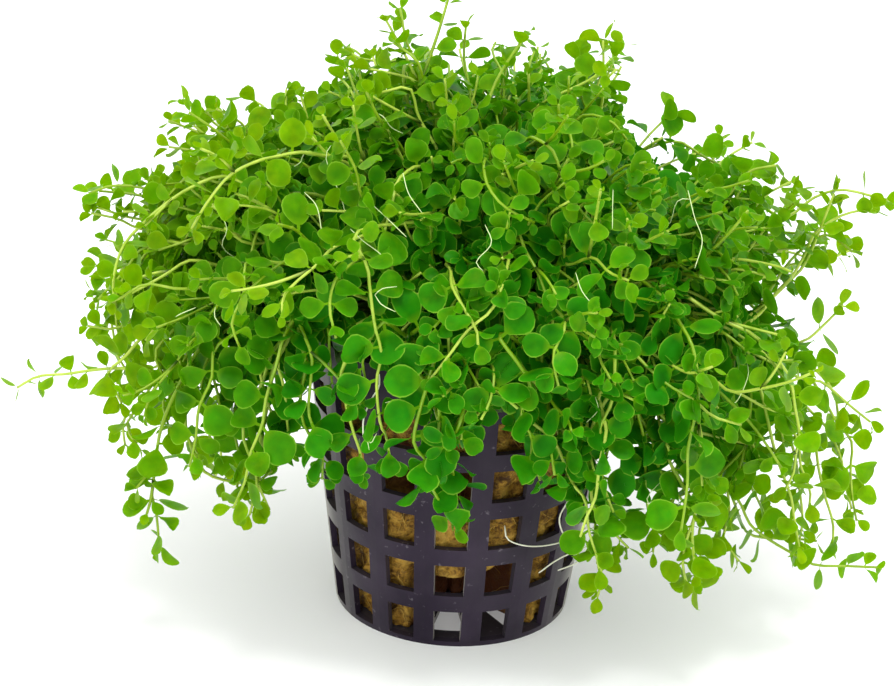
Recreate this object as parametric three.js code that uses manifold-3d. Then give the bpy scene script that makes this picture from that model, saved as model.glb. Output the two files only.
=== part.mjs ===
// A small-leaved carpeting plant in a 5 cm net pot: a tapered basket with square windows, a plug of
// mineral wool inside it, and a mop of leafy stems that grows from the plug, rises over the rim and
// trails down round the pot. Millimetres, +Z up, origin at the centre of the pot's foot, -Y in front.
import * as THREE from "three";
import { mergeVertices } from "three/addons/utils/BufferGeometryUtils.js";
import Module from "manifold-3d";

const wasm = await Module();
wasm.setup();

// Net pot
const POT_HEIGHT = 48.4;
const POT_TOP_RADIUS = 25;
const POT_FOOT_RADIUS = 18.7;
const WALL = 1.0;
const FLOOR_THICKNESS = 0.8;
const COLUMNS = 16;
const ROWS = 5;
const FIRST_COLUMN_DEG = -91.3;
const WINDOW_FACET_HALF_DEG = 8.2;
const RIB_WIDTH = 3.2;
const WINDOW_HEIGHT = 5.6;
const ROW_PITCH = 8.57;
const FIRST_ROW_Z = FLOOR_THICKNESS + 0.05 + WINDOW_HEIGHT / 2;
const FLOOR_SLOTS = 8;
const FLOOR_SLOT = { inner: 5.5, outer: 15.5, innerWidth: 2.4, outerWidth: 6.4 };

// Mineral wool plug, worn back low down at the front
const GAP = 0.35;
const WOOL_TOP = 41.2;
const WOOL_BOTTOM = FLOOR_THICKNESS + GAP;
const WOOL_SEGMENTS = 12;
const TEAR_DEG = -80;
const TEAR_LIFT = 1;
const TEAR_DEPTH = 0.1;
const TEAR_REACH_Z = 22;

// How the stems flow: out of the crown on top of the plug, over the rim, and down
const CROWN_Z = WOOL_TOP + GAP;
const CROWN_RADIUS = 15;
const MOP_CENTRE_Z = 46;
const MOP_TOP = 43;
const MOP_SIDE = 58;
const MOP_SIDE_LEAN = 3;
const MOP_FRONT_CUT = 15;
const MOP_BACK_CUT = 9;
const HANG_DEG = 124;
const HANG_LEAN_DEG = 8;
const HANG_FRONT_CUT_DEG = 11;
const UNDER_CUT = 10;

// Tufts: bunches of stems, as lobes that share out the crown's disc, ring by ring
const TUFT_RINGS = [
  { name: "crown", count: 1, from: 0, to: 0.17, turn: 0 },
  { name: "shoulder", count: 6, from: 0.19, to: 0.56, turn: 30 },
  { name: "skirt", count: 12, from: 0.58, to: 0.985, turn: 15 },
];
const TUFT_SPACING_DEG = 2.4;
const TUFT_CORNER = 0.62;
const TUFT_STATIONS = [0, 0.45, 0.82, 0.93];
const TUFT_SWELL = [1, 1, 0.96, 0.78];
const TUFT_END = 0.97;
const TUFT_LEAVES = 4;
const TUFT_LEAF_AT = 0.9;
const TUFT_LEAF_SPREAD = 0.75;
const TUFT_LEAF_RADIUS = 3.6;
const TUFT_LEAF_THICKNESS = 1.6;

// Sprigs: single stems that stand clear of the mass, with leaves in opposite pairs. Each list holds
// the points outside the mass that its stem passes, from where it leaves the mass to its tip.
const STEM_RADIUS = 0.75;
const STEM_SIDES = 3;
const STEM_STEP = 10;
const LEAF_SIDES = 5;
const LEAF_RADIUS = 2.7;
const LEAF_THICKNESS = 1.0;
const LEAF_PAIR_SPACING = 7;
const TIP_LEAF_SCALE = 0.85;
const LEAF_LEAN = 0.35;
const SPRIGS = {
  left_trailing: { pairs: 4, way: [[-32, -16, 44], [-48, -12, 41], [-62, -8, 39], [-69, -6, 35]] },
  left_high: { pairs: 3, way: [[-43, 4, 62], [-53, 4, 66], [-59, 4, 64]] },
  left_middle: { pairs: 2, way: [[-49, -4, 50], [-58, -2, 50]] },
  left_upper: { pairs: 3, way: [[-33, 12, 70], [-40, 15, 73], [-46, 16, 76]] },
  left_hanging: { pairs: 4, way: [[-34, -20, 57], [-43, -22, 42], [-46, -22, 30], [-45, -22, 17]] },
  left_low: { pairs: 2, way: [[-31, -26, 42], [-30, -27, 32], [-31, -26, 25]] },
  top_left: { pairs: 2, way: [[-29, 22, 66], [-33, 25, 71], [-37, 28, 73]] },
  top_back: { pairs: 2, way: [[-16, 14, 76], [-19, 18, 81], [-22, 20, 83]] },
  top_tall: { pairs: 3, way: [[-6, 0, 78], [-9, 2, 89], [-12, 4, 96]] },
  top_middle: { pairs: 2, way: [[2, -4, 82], [4, -2, 90], [7, 0, 94]] },
  top_right: { pairs: 3, way: [[17, 6, 76], [19, 8, 85], [20, 10, 93]] },
  right_upper: { pairs: 2, way: [[25, 14, 70], [28, 16, 74], [31, 18, 77]] },
  right_back: { pairs: 2, way: [[35, 20, 64], [41, 24, 68], [45, 26, 70]] },
  right_high: { pairs: 4, way: [[43, -2, 66], [55, -2, 72], [65, -2, 71]] },
  right_middle: { pairs: 2, way: [[52, 14, 54], [61, 16, 56]] },
  right_outer: { pairs: 3, way: [[50, -10, 46], [57, -10, 43], [63, -10, 38]] },
  right_hanging: { pairs: 3, way: [[51, 0, 45], [60, -1, 32], [64, -2, 17]] },
  right_low: { pairs: 3, way: [[36, -18, 40], [46, -16, 22], [57, -14, 15], [66, -14, 15]] },
  right_front: { pairs: 2, way: [[30, -28, 42], [35, -29, 30], [37, -27, 18]] },
  front_right: { pairs: 2, way: [[10, -36, 48], [17, -34, 37], [22, -31, 20]] },
  front_left: { pairs: 2, way: [[-17, -36, 56], [-16, -36, 46], [-14, -33, 36]] },
  front_middle: { pairs: 2, way: [[-4, -38, 52], [-2, -36, 41], [0, -30, 31]] },
  back_left: { pairs: 3, way: [[-30, 36, 50], [-38, 44, 40], [-40, 45, 27]] },
  back_middle: { pairs: 2, way: [[2, 46, 52], [4, 53, 42], [4, 53, 30]] },
  back_right: { pairs: 3, way: [[32, 36, 48], [40, 43, 36], [42, 44, 22]] },
  back_high: { pairs: 2, way: [[8, 34, 74], [10, 40, 80]] },
};

const POT_COLOUR = 0x1d1822;
const WOOL_COLOUR = 0x9a6a24;
const TUFT_COLOUR = 0x2f8410;

const rad = THREE.MathUtils.degToRad;

// Solids

function solidOf(geometry) {
  const bare = geometry.index ? geometry.toNonIndexed() : geometry.clone();
  bare.deleteAttribute("normal");
  bare.deleteAttribute("uv");
  const merged = mergeVertices(bare, 1e-4);
  return new wasm.Manifold(
    new wasm.Mesh({
      numProp: 3,
      vertProperties: merged.attributes.position.array,
      triVerts: new Uint32Array(merged.index.array),
    }),
  );
}

function geometryOf(solid) {
  const mesh = solid.getMesh();
  const geometry = new THREE.BufferGeometry();
  geometry.setAttribute("position", new THREE.BufferAttribute(mesh.vertProperties, 3));
  geometry.setIndex(new THREE.BufferAttribute(mesh.triVerts, 1));
  geometry.computeVertexNormals();
  return geometry;
}

const unionOf = (solids) => solids.reduce((whole, next) => whole.add(next));

function largestOf(solid) {
  const bodies = solid.decompose();
  return bodies.reduce((best, body) => (body.volume() > best.volume() ? body : best));
}

// A profile of [radius, z] turned round Z, with one facet between each two azimuths
function latheAroundZ(profile, azimuths) {
  const points = profile.map(([radius, z]) => new THREE.Vector2(radius, z));
  const lathe = new THREE.LatheGeometry(points, azimuths.length);
  const place = lathe.attributes.position;
  for (let i = 0; i < place.count; i++) {
    const [radius, z] = profile[i % profile.length];
    const azimuth = azimuths[Math.floor(i / profile.length) % azimuths.length];
    place.setXYZ(i, radius * Math.cos(azimuth), radius * Math.sin(azimuth), z);
  }
  return lathe;
}

const evenAzimuths = (count) => Array.from({ length: count }, (_, i) => (2 * Math.PI * i) / count);

// Net pot

const potRadius = (z) => POT_FOOT_RADIUS + ((POT_TOP_RADIUS - POT_FOOT_RADIUS) * z) / POT_HEIGHT;

const columnAzimuth = (column) => rad(FIRST_COLUMN_DEG) + (2 * Math.PI * column) / COLUMNS;

function potAzimuths() {
  const half = rad(WINDOW_FACET_HALF_DEG);
  const azimuths = [];
  for (let column = 0; column < COLUMNS; column++)
    azimuths.push(columnAzimuth(column) - half, columnAzimuth(column) + half);
  return azimuths;
}

function windowCutter(column, row) {
  const z = FIRST_ROW_Z + row * ROW_PITCH;
  const width = (potRadius(z) * 2 * Math.PI) / COLUMNS - RIB_WIDTH;
  const box = new THREE.BoxGeometry(6 * WALL, width, WINDOW_HEIGHT);
  box.translate(potRadius(z), 0, z);
  box.rotateZ(columnAzimuth(column));
  return solidOf(box);
}

function floorSlotCutter(index) {
  const { inner, outer, innerWidth, outerWidth } = FLOOR_SLOT;
  const outline = new THREE.Shape([
    new THREE.Vector2(inner, -innerWidth / 2),
    new THREE.Vector2(outer, -outerWidth / 2),
    new THREE.Vector2(outer, outerWidth / 2),
    new THREE.Vector2(inner, innerWidth / 2),
  ]);
  const slot = new THREE.ExtrudeGeometry(outline, { depth: 3 * FLOOR_THICKNESS, bevelEnabled: false });
  slot.translate(0, 0, -FLOOR_THICKNESS);
  slot.rotateZ(columnAzimuth((index * COLUMNS) / FLOOR_SLOTS));
  return solidOf(slot);
}

function netPot() {
  const profile = [
    [0, 0],
    [POT_FOOT_RADIUS, 0],
    [POT_TOP_RADIUS, POT_HEIGHT],
    [POT_TOP_RADIUS - WALL, POT_HEIGHT],
    [potRadius(FLOOR_THICKNESS) - WALL, FLOOR_THICKNESS],
    [0, FLOOR_THICKNESS],
  ];
  const cutters = [];
  for (let column = 0; column < COLUMNS; column++)
    for (let row = 0; row < ROWS; row++) cutters.push(windowCutter(column, row));
  for (let index = 0; index < FLOOR_SLOTS; index++) cutters.push(floorSlotCutter(index));
  return solidOf(latheAroundZ(profile, potAzimuths())).subtract(unionOf(cutters));
}

// The room that the pot and the plug take, with the gap that the plant keeps to them
function potClearance() {
  const rimRadius = POT_TOP_RADIUS + GAP;
  const profile = [
    [0, -GAP],
    [POT_FOOT_RADIUS + GAP, -GAP],
    [rimRadius, POT_HEIGHT + GAP],
    [rimRadius - WALL - 2 * GAP, POT_HEIGHT + GAP],
    [potRadius(WOOL_TOP) - WALL - GAP, WOOL_TOP + GAP],
    [0, WOOL_TOP + GAP],
  ];
  return solidOf(latheAroundZ(profile, potAzimuths()));
}

// Mineral wool plug

function woolPlug() {
  const fit = (z) => potRadius(z) - WALL - 2 * GAP;
  const profile = [
    [0, WOOL_BOTTOM + 3],
    [fit(WOOL_BOTTOM) - 2, WOOL_BOTTOM],
    [fit(5), 5],
    [fit(13), 13],
    [fit(TEAR_REACH_Z), TEAR_REACH_Z],
    [fit(WOOL_TOP - 3), WOOL_TOP - 3],
    [fit(WOOL_TOP - 3) - 3, WOOL_TOP],
    [0, WOOL_TOP],
  ];
  const wad = latheAroundZ(profile, evenAzimuths(WOOL_SEGMENTS));
  const place = wad.attributes.position;
  for (let i = 0; i < place.count; i++) {
    const [x, y, z] = [place.getX(i), place.getY(i), place.getZ(i)];
    const azimuth = Math.atan2(y, x);
    const low = Math.max(0, 1 - z / TEAR_REACH_Z);
    const torn = Math.hypot(x, y) > 0 ? Math.max(0, Math.cos(azimuth - rad(TEAR_DEG))) ** 2 * low : 0;
    const lumps = 0.03 * (1 + Math.sin(3 * azimuth + 0.31 * z));
    const scale = 1 - lumps - TEAR_DEPTH * torn;
    place.setXYZ(i, x * scale, y * scale, z + TEAR_LIFT * torn);
  }
  return solidOf(wad);
}

// The plant's flow. A stem starts at a place on the unit disc of the crown, and its azimuth and its
// share of the way out from the middle say how far over it leans.

const frontness = (azimuth) => Math.max(0, -Math.sin(azimuth)) ** 2;
const backness = (azimuth) => Math.max(0, Math.sin(azimuth)) ** 2;

const hangAngle = (azimuth) =>
  rad(HANG_DEG + HANG_LEAN_DEG * Math.cos(azimuth) - HANG_FRONT_CUT_DEG * frontness(azimuth));

function mopReach(azimuth, tilt) {
  const cuts = MOP_FRONT_CUT * frontness(azimuth) + MOP_BACK_CUT * backness(azimuth);
  const side = MOP_SIDE + MOP_SIDE_LEAN * Math.cos(azimuth) - cuts;
  const under = Math.max(0, tilt - Math.PI / 2);
  return MOP_TOP + (side - MOP_TOP) * Math.sin(Math.min(tilt, Math.PI / 2)) ** 3 - UNDER_CUT * under;
}

// Where a stem is after part t of its way to the outside of the mop
function flow(share, azimuth, t) {
  const tilt = hangAngle(azimuth) * share;
  const reach = mopReach(azimuth, tilt);
  const end = [reach * Math.sin(tilt), MOP_CENTRE_Z + reach * Math.cos(tilt)];
  const bend = [end[0] * (0.35 + 0.33 * share), 64 + 8 * share];
  const blend = (from, by, to) => (1 - t) ** 2 * from + 2 * t * (1 - t) * by + t * t * to;
  const out = blend(CROWN_RADIUS * share, bend[0], end[0]);
  return new THREE.Vector3(out * Math.cos(azimuth), out * Math.sin(azimuth), blend(CROWN_Z, bend[1], end[1]));
}

// Leaves

// A flat lens that grows from its root along one direction and faces another
function leafSolid(root, growing, facing, radius, thickness) {
  const leaf = new THREE.SphereGeometry(radius, LEAF_SIDES, 2);
  leaf.scale(1, thickness / (2 * radius), 1);
  leaf.translate(radius, 0, 0);
  const normal = facing.clone().addScaledVector(growing, -facing.dot(growing)).normalize();
  const across = new THREE.Vector3().crossVectors(growing, normal);
  leaf.applyMatrix4(new THREE.Matrix4().makeBasis(growing, normal, across).setPosition(root));
  return solidOf(leaf);
}

// Tufts

function tuftPlans() {
  const plans = [];
  for (const { name, count, from, to, turn } of TUFT_RINGS)
    for (let i = 0; i < count; i++)
      plans.push({
        name: `tuft_${name}_${String(i + 1).padStart(2, "0")}`,
        share: count > 1 ? (from + to) / 2 : 0,
        azimuth: rad(turn + (360 * i) / count),
        halfShare: count > 1 ? (to - from) / 2 : to,
        halfTurn: rad((360 / count - TUFT_SPACING_DEG) / 2),
        sprigs: [],
      });
  return plans;
}

// The corners of a tuft's cell on the crown's disc: an eight-sided field, or a ring in the middle
function tuftCorners({ share, azimuth, halfShare, halfTurn }) {
  if (share === 0) return evenAzimuths(8).map((turn) => (swell) => [halfShare * swell, turn]);
  const c = TUFT_CORNER;
  const corners = [[1, -c], [1, c], [c, 1], [-c, 1], [-1, c], [-1, -c], [-c, -1], [c, -1]];
  return corners.map(([out, round]) => (swell) => [
    share + out * halfShare * swell,
    azimuth + round * halfTurn * swell,
  ]);
}

function tuftLobe(plan) {
  const corners = tuftCorners(plan);
  const sides = corners.length;
  const points = TUFT_STATIONS.flatMap((t, station) =>
    corners.flatMap((corner) => flow(...corner(TUFT_SWELL[station]), t).toArray()),
  );
  points.push(...flow(plan.share, plan.azimuth, 0).toArray());
  points.push(...flow(plan.share, plan.azimuth, TUFT_END).toArray());
  const root = TUFT_STATIONS.length * sides;
  const last = root - sides;
  const faces = [];
  for (let side = 0; side < sides; side++) {
    const next = (side + 1) % sides;
    faces.push(root, next, side, root + 1, last + side, last + next);
    for (let from = 0; from < last; from += sides) {
      const to = from + sides;
      faces.push(from + side, from + next, to + next, from + side, to + next, to + side);
    }
  }
  const geometry = new THREE.BufferGeometry();
  geometry.setAttribute("position", new THREE.Float32BufferAttribute(points, 3));
  geometry.setIndex(faces);
  return solidOf(geometry);
}

function tuftLeaf({ share, azimuth, halfShare, halfTurn }, index) {
  const angle = index * 2.4 + 3 * azimuth;
  const spread = TUFT_LEAF_SPREAD * Math.sqrt((index + 0.5) / TUFT_LEAVES);
  const out = share + halfShare * spread * Math.cos(angle);
  const round = azimuth + halfTurn * spread * Math.sin(angle);
  const root = flow(Math.abs(out), round, TUFT_LEAF_AT);
  const growing = flow(Math.abs(out), round, 1).sub(root).normalize();
  const facing = new THREE.Vector3(Math.cos(2.4 * index), Math.sin(2.4 * index), 0.8);
  return leafSolid(root, growing, facing, TUFT_LEAF_RADIUS, TUFT_LEAF_THICKNESS);
}

function tuftMass(plan) {
  const leaves = [];
  for (let index = 0; index < TUFT_LEAVES; index++) leaves.push(tuftLeaf(plan, index));
  return unionOf([tuftLobe(plan), ...leaves]);
}

// Sprigs

// The tuft that a stem leaving the mop at a point belongs to
function tuftNearest(plans, point) {
  const azimuth = Math.atan2(point.y, point.x);
  const tilt = Math.atan2(Math.hypot(point.x, point.y), point.z - MOP_CENTRE_Z);
  const place = new THREE.Vector2(Math.min(1, tilt / hangAngle(azimuth)), 0);
  place.rotateAround(new THREE.Vector2(), azimuth);
  const apart = (plan) =>
    new THREE.Vector2(plan.share, 0).rotateAround(new THREE.Vector2(), plan.azimuth).distanceTo(place);
  return plans.reduce((best, plan) => (apart(plan) < apart(best) ? plan : best));
}

function stemSolid(curve, steps, radius) {
  const section = new THREE.Shape();
  for (let side = 0; side < STEM_SIDES; side++) {
    const angle = (2 * Math.PI * side) / STEM_SIDES;
    const [x, y] = [radius * Math.cos(angle), radius * Math.sin(angle)];
    if (side === 0) section.moveTo(x, y);
    else section.lineTo(x, y);
  }
  return solidOf(new THREE.ExtrudeGeometry(section, { steps, extrudePath: curve, bevelEnabled: false }));
}

// Two opposite leaves on a stem, each pair turned a quarter round from the pair before it
function leafPair(node, along, pair, grow) {
  const radius = LEAF_RADIUS * (pair === 0 ? TIP_LEAF_SCALE : 1);
  const aside = new THREE.Vector3(-along.y, along.x, 0.01).normalize();
  aside.applyAxisAngle(along, (pair * Math.PI) / 2 + 0.4);
  const facing = along.clone().add(new THREE.Vector3(0, 0, 0.7));
  return [-1, 1].map((turn) => {
    const growing = aside.clone().multiplyScalar(turn).addScaledVector(along, LEAF_LEAN).normalize();
    const root = node.clone().addScaledVector(growing, -grow);
    return leafSolid(root, growing, facing, radius + grow, LEAF_THICKNESS + 2 * grow);
  });
}

function sprig({ pairs, way }, home, grow) {
  const outer = way.map((point) => new THREE.Vector3(...point));
  const curve = new THREE.CatmullRomCurve3([flow(home.share, home.azimuth, 0.7), ...outer]);
  const length = curve.getLength();
  const steps = Math.round(length / STEM_STEP);
  const spine = curve.getSpacedPoints(steps);
  const solids = [stemSolid(curve, steps, STEM_RADIUS + grow)];
  for (let pair = 0; pair < pairs; pair++) {
    const place = steps * (1 - (pair * LEAF_PAIR_SPACING + STEM_RADIUS / 2) / length);
    const [from, to] = [spine[Math.floor(place)], spine[Math.ceil(place)]];
    const along = to.clone().sub(from).normalize();
    solids.push(...leafPair(from.clone().lerp(to, place % 1), along, pair, grow));
  }
  return unionOf(solids);
}

function tufts() {
  const plans = tuftPlans();
  for (const plan of Object.values(SPRIGS)) {
    const home = tuftNearest(plans, new THREE.Vector3(...plan.way[0]));
    home.sprigs.push({ solid: sprig(plan, home, 0), room: sprig(plan, home, GAP) });
  }
  const potRoom = potClearance();
  return plans.map((plan) => {
    const others = plans.filter((other) => other !== plan).flatMap((other) => other.sprigs);
    const room = unionOf([potRoom, ...others.map((other) => other.room)]);
    const mass = largestOf(tuftMass(plan).subtract(room));
    const solid = unionOf([mass, ...plan.sprigs.map((own) => own.solid)]);
    return { name: plan.name, solid, color: TUFT_COLOUR };
  });
}

function meshOf({ name, solid, color, roughness = 0.6 }) {
  const material = new THREE.MeshStandardMaterial({ color, roughness, metalness: 0 });
  const mesh = new THREE.Mesh(geometryOf(solid), material);
  mesh.name = name;
  return mesh;
}

const pottedPlant = new THREE.Group();
const pieces = [
  { name: "net_pot", solid: netPot(), color: POT_COLOUR, roughness: 0.35 },
  { name: "mineral_wool", solid: woolPlug(), color: WOOL_COLOUR, roughness: 0.95 },
  ...tufts(),
];
for (const piece of pieces) pottedPlant.add(meshOf(piece));

export default pottedPlant;
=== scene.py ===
import math

import bpy
import numpy as np
from mathutils import Matrix, Vector


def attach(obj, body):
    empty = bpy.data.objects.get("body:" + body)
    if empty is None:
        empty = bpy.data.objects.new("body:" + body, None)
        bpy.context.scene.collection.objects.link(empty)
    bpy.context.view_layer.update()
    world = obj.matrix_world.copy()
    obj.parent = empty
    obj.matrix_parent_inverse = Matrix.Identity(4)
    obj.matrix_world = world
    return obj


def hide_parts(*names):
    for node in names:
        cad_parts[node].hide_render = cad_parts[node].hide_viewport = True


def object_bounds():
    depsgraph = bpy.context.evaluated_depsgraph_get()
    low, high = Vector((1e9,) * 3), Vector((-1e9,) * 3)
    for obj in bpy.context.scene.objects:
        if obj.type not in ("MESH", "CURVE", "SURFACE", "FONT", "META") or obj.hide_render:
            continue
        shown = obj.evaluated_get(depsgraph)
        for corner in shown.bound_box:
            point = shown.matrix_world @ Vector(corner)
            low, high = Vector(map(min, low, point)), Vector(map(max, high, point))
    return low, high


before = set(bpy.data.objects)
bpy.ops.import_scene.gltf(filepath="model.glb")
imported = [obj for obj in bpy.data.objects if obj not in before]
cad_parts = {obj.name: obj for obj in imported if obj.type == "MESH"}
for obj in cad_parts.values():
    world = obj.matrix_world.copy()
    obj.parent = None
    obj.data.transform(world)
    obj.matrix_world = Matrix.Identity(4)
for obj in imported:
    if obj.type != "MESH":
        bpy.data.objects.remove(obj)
cad_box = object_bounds()

MM = 0.001
rng = np.random.RandomState(24)

# Camera: its distance from the point that it is aimed at, its height angle and roll, and its lens
CAMERA_DISTANCE = 440.0
CAMERA_ELEVATION = 0.405
CAMERA_TARGET = (-2.57, 0.0, 43.47)
CAMERA_ROLL = 0.048
CAMERA_LENS = 113.34
CAMERA_SENSOR = 36.0

# Light: the white surroundings, and a soft light from above and in front
WORLD_LIGHT = 1.46
KEY_LIGHT = {"towards": (0.02, -0.25, 1.0), "strength": 1.4, "spread_deg": 14.0}
FILL_LIGHT = {"towards": (-0.5, -1.0, 0.4), "strength": 0.3, "spread_deg": 40.0}
FLOOR_GLOW = 0.2
FLOOR_HALF_WIDTH = 3000.0

# Net pot
POT_HEIGHT = 48.4
POT_TOP_RADIUS = 25.0
POT_FOOT_RADIUS = 18.7
WALL = 1.0
FLOOR_THICKNESS = 0.8
COLUMNS = 16
ROWS = 5
FIRST_COLUMN_DEG = -91.3
RIB_WIDTH = 3.2
WINDOW_HEIGHT = 5.6
ROW_PITCH = 8.57
FIRST_ROW_Z = FLOOR_THICKNESS + 0.05 + WINDOW_HEIGHT / 2
FLOOR_SLOTS = 8
SLOT_INNER = 5.5
SLOT_MIDDLE = 10.5
SLOT_OUTER = 15.5
SLOT_HALF_DEG = 10.4
HUB_RADIUS = 2.0
RIM_RING = 3
WINDOW_THIRD = 0.33
POT_EDGE = 0.28
POT_EDGE_DEG = 40

# Mineral wool plug, torn away low down at the front and hollow at one place above
GAP = 0.35
WOOL_TOP = 41.2
WOOL_BOTTOM = FLOOR_THICKNESS + GAP
WOOL_AROUND = 150
WOOL_UP = 64
HOLLOWS = [
    {"deg": -79.0, "half_deg": 34.0, "low": -5.0, "high": 13.2, "depth": 0.8},
    {"deg": -103.0, "half_deg": 24.0, "low": 25.0, "high": 34.0, "depth": 0.35},
]
HOLLOW_SIDE_BLUR = 0.16
HOLLOW_BLUR = 1.2
HOLLOW_WAVE = 1.4
HOLLOW_WAVES = 5
WOOL_LUMPS = [
    {"size": 6.0, "seed": 3, "weight": 0.8},
    {"size": 2.4, "seed": 4, "weight": 0.6},
    {"size": 1.1, "seed": 5, "weight": 0.35},
]
WOOL_SINK = 0.7
LUMP_WAVES = 7
LUMP_WAVE_SPREAD = (0.7, 1.5)
WOOL_SHOULDER = 1.5
WOOL_TOP_RINGS = [(0.85, 1.0), (0.5, 1.4), (0.02, 1.5)]
WOOL_FOOT_RINGS = [0.02, 0.6]
WOOL_FOOT_LIFT = 2.0
WOOL_FIBRES = 420
FIBRE_LENGTH = (1.5, 5)
FIBRE_RADIUS = (0.05, 0.09)
FIBRE_LIFT = (0.0, 0.25)
FIBRE_TURN = 0.7
FIBRE_BEND = 0.25
FIBRE_POINTS = 6
WOOL_MEAN_RADIUS = 20

# How the stems flow: out of the crown on top of the plug, over the rim, and down
CROWN_Z = WOOL_TOP + GAP
CROWN_RADIUS = 15.0
MOP_CENTRE_Z = 46.0
MOP_TOP = 43.0
MOP_SIDE = 58.0
MOP_SIDE_LEAN = 3.0
MOP_FRONT_CUT = 15.0
MOP_BACK_CUT = 9.0
HANG_DEG = 124.0
HANG_LEAN_DEG = 8.0
HANG_FRONT_CUT_DEG = 11.0
UNDER_CUT = 10.0
BEND_OUT = 0.35
BEND_OUT_GROWTH = 0.33
BEND_Z = 64
BEND_Z_GROWTH = 8

# How far out on the plant a place is, from 0 over the pot to 1 at its far edges: for colours and sizes
OUTER_CENTRE_X = 4.5
OUTER_REACH_X = 55
OUTER_REACH_Y = 80
OUTER_REACH_UP = 48
OUTER_REACH_DOWN = 28
OUTER_START = 0.66
OUTER_SPAN = 0.34

# Tufts: bunches of stems that share out the crown's disc, ring by ring
TUFT_RINGS = [
    {"name": "crown", "count": 1, "from": 0.0, "to": 0.17, "turn": 0.0},
    {"name": "shoulder", "count": 6, "from": 0.19, "to": 0.56, "turn": 30.0},
    {"name": "skirt", "count": 12, "from": 0.58, "to": 0.985, "turn": 15.0},
]

# Stems: how many, how thick, how far they reach, and how they stray from the flow
STEMS = 500
INNER_STEMS = 350
TRAILING_STEMS = 70
STEM_RADIUS = 0.37
STEM_TIP_RADIUS = 0.2
STEM_TAPER = 1.3
STEM_THICKNESS = (0.8, 1.15)
STEM_TONE = (0.5, 0.13)
STEM_SIDES = 5
INNER_STEM_SIDES = 4
STEM_STEP = 1.7
STEM_POINTS = 16
TRAILING_POINTS = 20
CURVE_POINTS = 12
STEM_START = 0.04
STEM_REACH = (0.78, 1.0)
INNER_STEM_REACH = (0.55, 0.8)
STEM_SHARES = (0.02, 1.08)
STEM_DRIFT = 0.09
STEM_TURN = 0.3
STEM_WOBBLE = 2.0
WOBBLE_TURNS = (0.6, 1.3, 2.4)
TIP_TURN = (0.5, 4)
TIP_TURN_START = 0.72
TIP_TURN_SPAN = 0.28
TIP_LIFT = 0.9
STEM_KINK = 0.45
NODE_STEP = 4.6
TRAILING_LEAD = (0.2, 0.45)
TRAILING_RISE = (0.95, 1.02)
TRAILING_TURN = 0.25
TRAILING_WOBBLE = 2.2
SPRIG_ROOTS = (0.1, 0.4, 0.65)

# Side shoots
SHOOT_CHANCE = 0.3
INNER_SHOOT_CHANCE = 0.15
FREE_SHOOT_CHANCE = 0.04
SHOOT_LENGTH = (5, 13)
SHOOT_BEND = (-0.3, 0.45)
SHOOT_ALONG = 0.7
SHOOT_STRAY = 0.8
SHOOT_OUT = 0.5
SHOOT_THICKNESS = 0.75
SHOOT_FROM_TIP = 6
SHOOT_BARE_LENGTH = 2.5
SHOOT_LEAF_SCALE = 0.92
SHOOT_SPACING = 4.5
SHOOT_POINTS = 6

# Where leaves grow on a stem
LEAFY_LENGTH = 38.0
LEAFY_SHARE = (0.7, 1.1)
TRAILING_LEAFY_SHARE = (0.8, 1.3)
INNER_LEAFY_SHARE = 0.75
LONE_LEAFY_LENGTH = 46.0
BARE_FOOT = 1.5
FIRST_PAIR = 0.3
TIP_SPACING = 1.9
TIP_SPACING_GROWTH = 1.6
SPACING = (4.4, 6.6)
LOW_SPACING = (4.2, 5.8)
SPACING_VARIATION = (0.85, 1.15)
MISSING_LEAVES = 0.05
YOUNG_LENGTH = 6
LEAN = 0.25
YOUNG_LEAN = 0.9
PAIR_TURN = 0.25
GROWING_SPREAD = 0.22
FACING_SPREAD = 0.58
FACE_OUT = 0.6
FACE_UP = 0.65
FACE_ALONG = 0.35

# Leaves: their sizes and shapes, as shares of their length
LEAF_LENGTH = 5.0
LEAF_SCALE = (0.84, 1.16)
PAIR_SCALE = (0.82, 1.14)
SINGLE_SCALE = (0.85, 1.1)
TIP_LEAF = 0.55
FULL_SIZE = 1.1
OUTER_SHRINK = 0.17
FREE_OUTER_SHRINK = 0.12
FINE_LEAF_ROWS = 9
PLAIN_LEAF_ROWS = 5
PLAIN_DEPTH = 8.0
LEAF_WIDTH = (0.6, 0.85)
YOUNG_NARROWING = 0.2
ROUND_SHAPE = (1.05, 0.58)
SPOON_SHAPE = (1.5, 0.72)
SPOON_SPREAD = (1.3, 2.0)
LEAF_CUP = (0.1, 0.2)
LEAF_DROOP = (0.18, 0.2)
DROOP_SHORTENING = 0.12
LEAF_TWIST = 0.16
LEAF_MIDDLE = 0.6
PETIOLE_SHARE = 0.17
PETIOLE_FADE = 0.22
PETIOLE_HALF_WIDTH = 0.035
PETIOLE_END = 0.97
LEAF_RIM_HIGHLIGHT_START = 0.88
LEAF_TONE_SPREAD = 0.12
# Deeper leaves are darker: partly older leaves, partly painted shade deep in the mass, with less of it
# towards the plant's edges
DEPTH_AGE_AND_SHADE = 0.045
DEPTH_AGE_AND_SHADE_REACH = 8
OUTER_TONE_EVENNESS = 0.85

# Where the mass is thinner, and how clear it keeps of the pot, the floor and the box
BOX_INSET = 1.4
FREE_BOX_INSET = -0.4
THIN_BELOW = 38.0
THIN_CHANCE_LEFT = 0.35
THIN_CHANCE_RIGHT = 0.66
THIN_ABOVE = 85.0
THIN_CHANCE_TOP = 0.45
GAP_LEAVES = 0.6
BARE_CROWN_RADIUS = 24.0
BARE_CROWN_TOP = 57.0
MOUTH_RADIUS = 12
STEM_ROOM = 1.6
SHOOT_ROOM = 1.4
SPRIG_ROOM = 1.2
THREAD_ROOM = 1.0
FLOOR_ROOM = 0.6
LEAF_ROOM = 0.8
LEAF_ROOM_ABOVE = 0.5
TURN_OUT = 0.6
TURN_UP = 0.7

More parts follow.
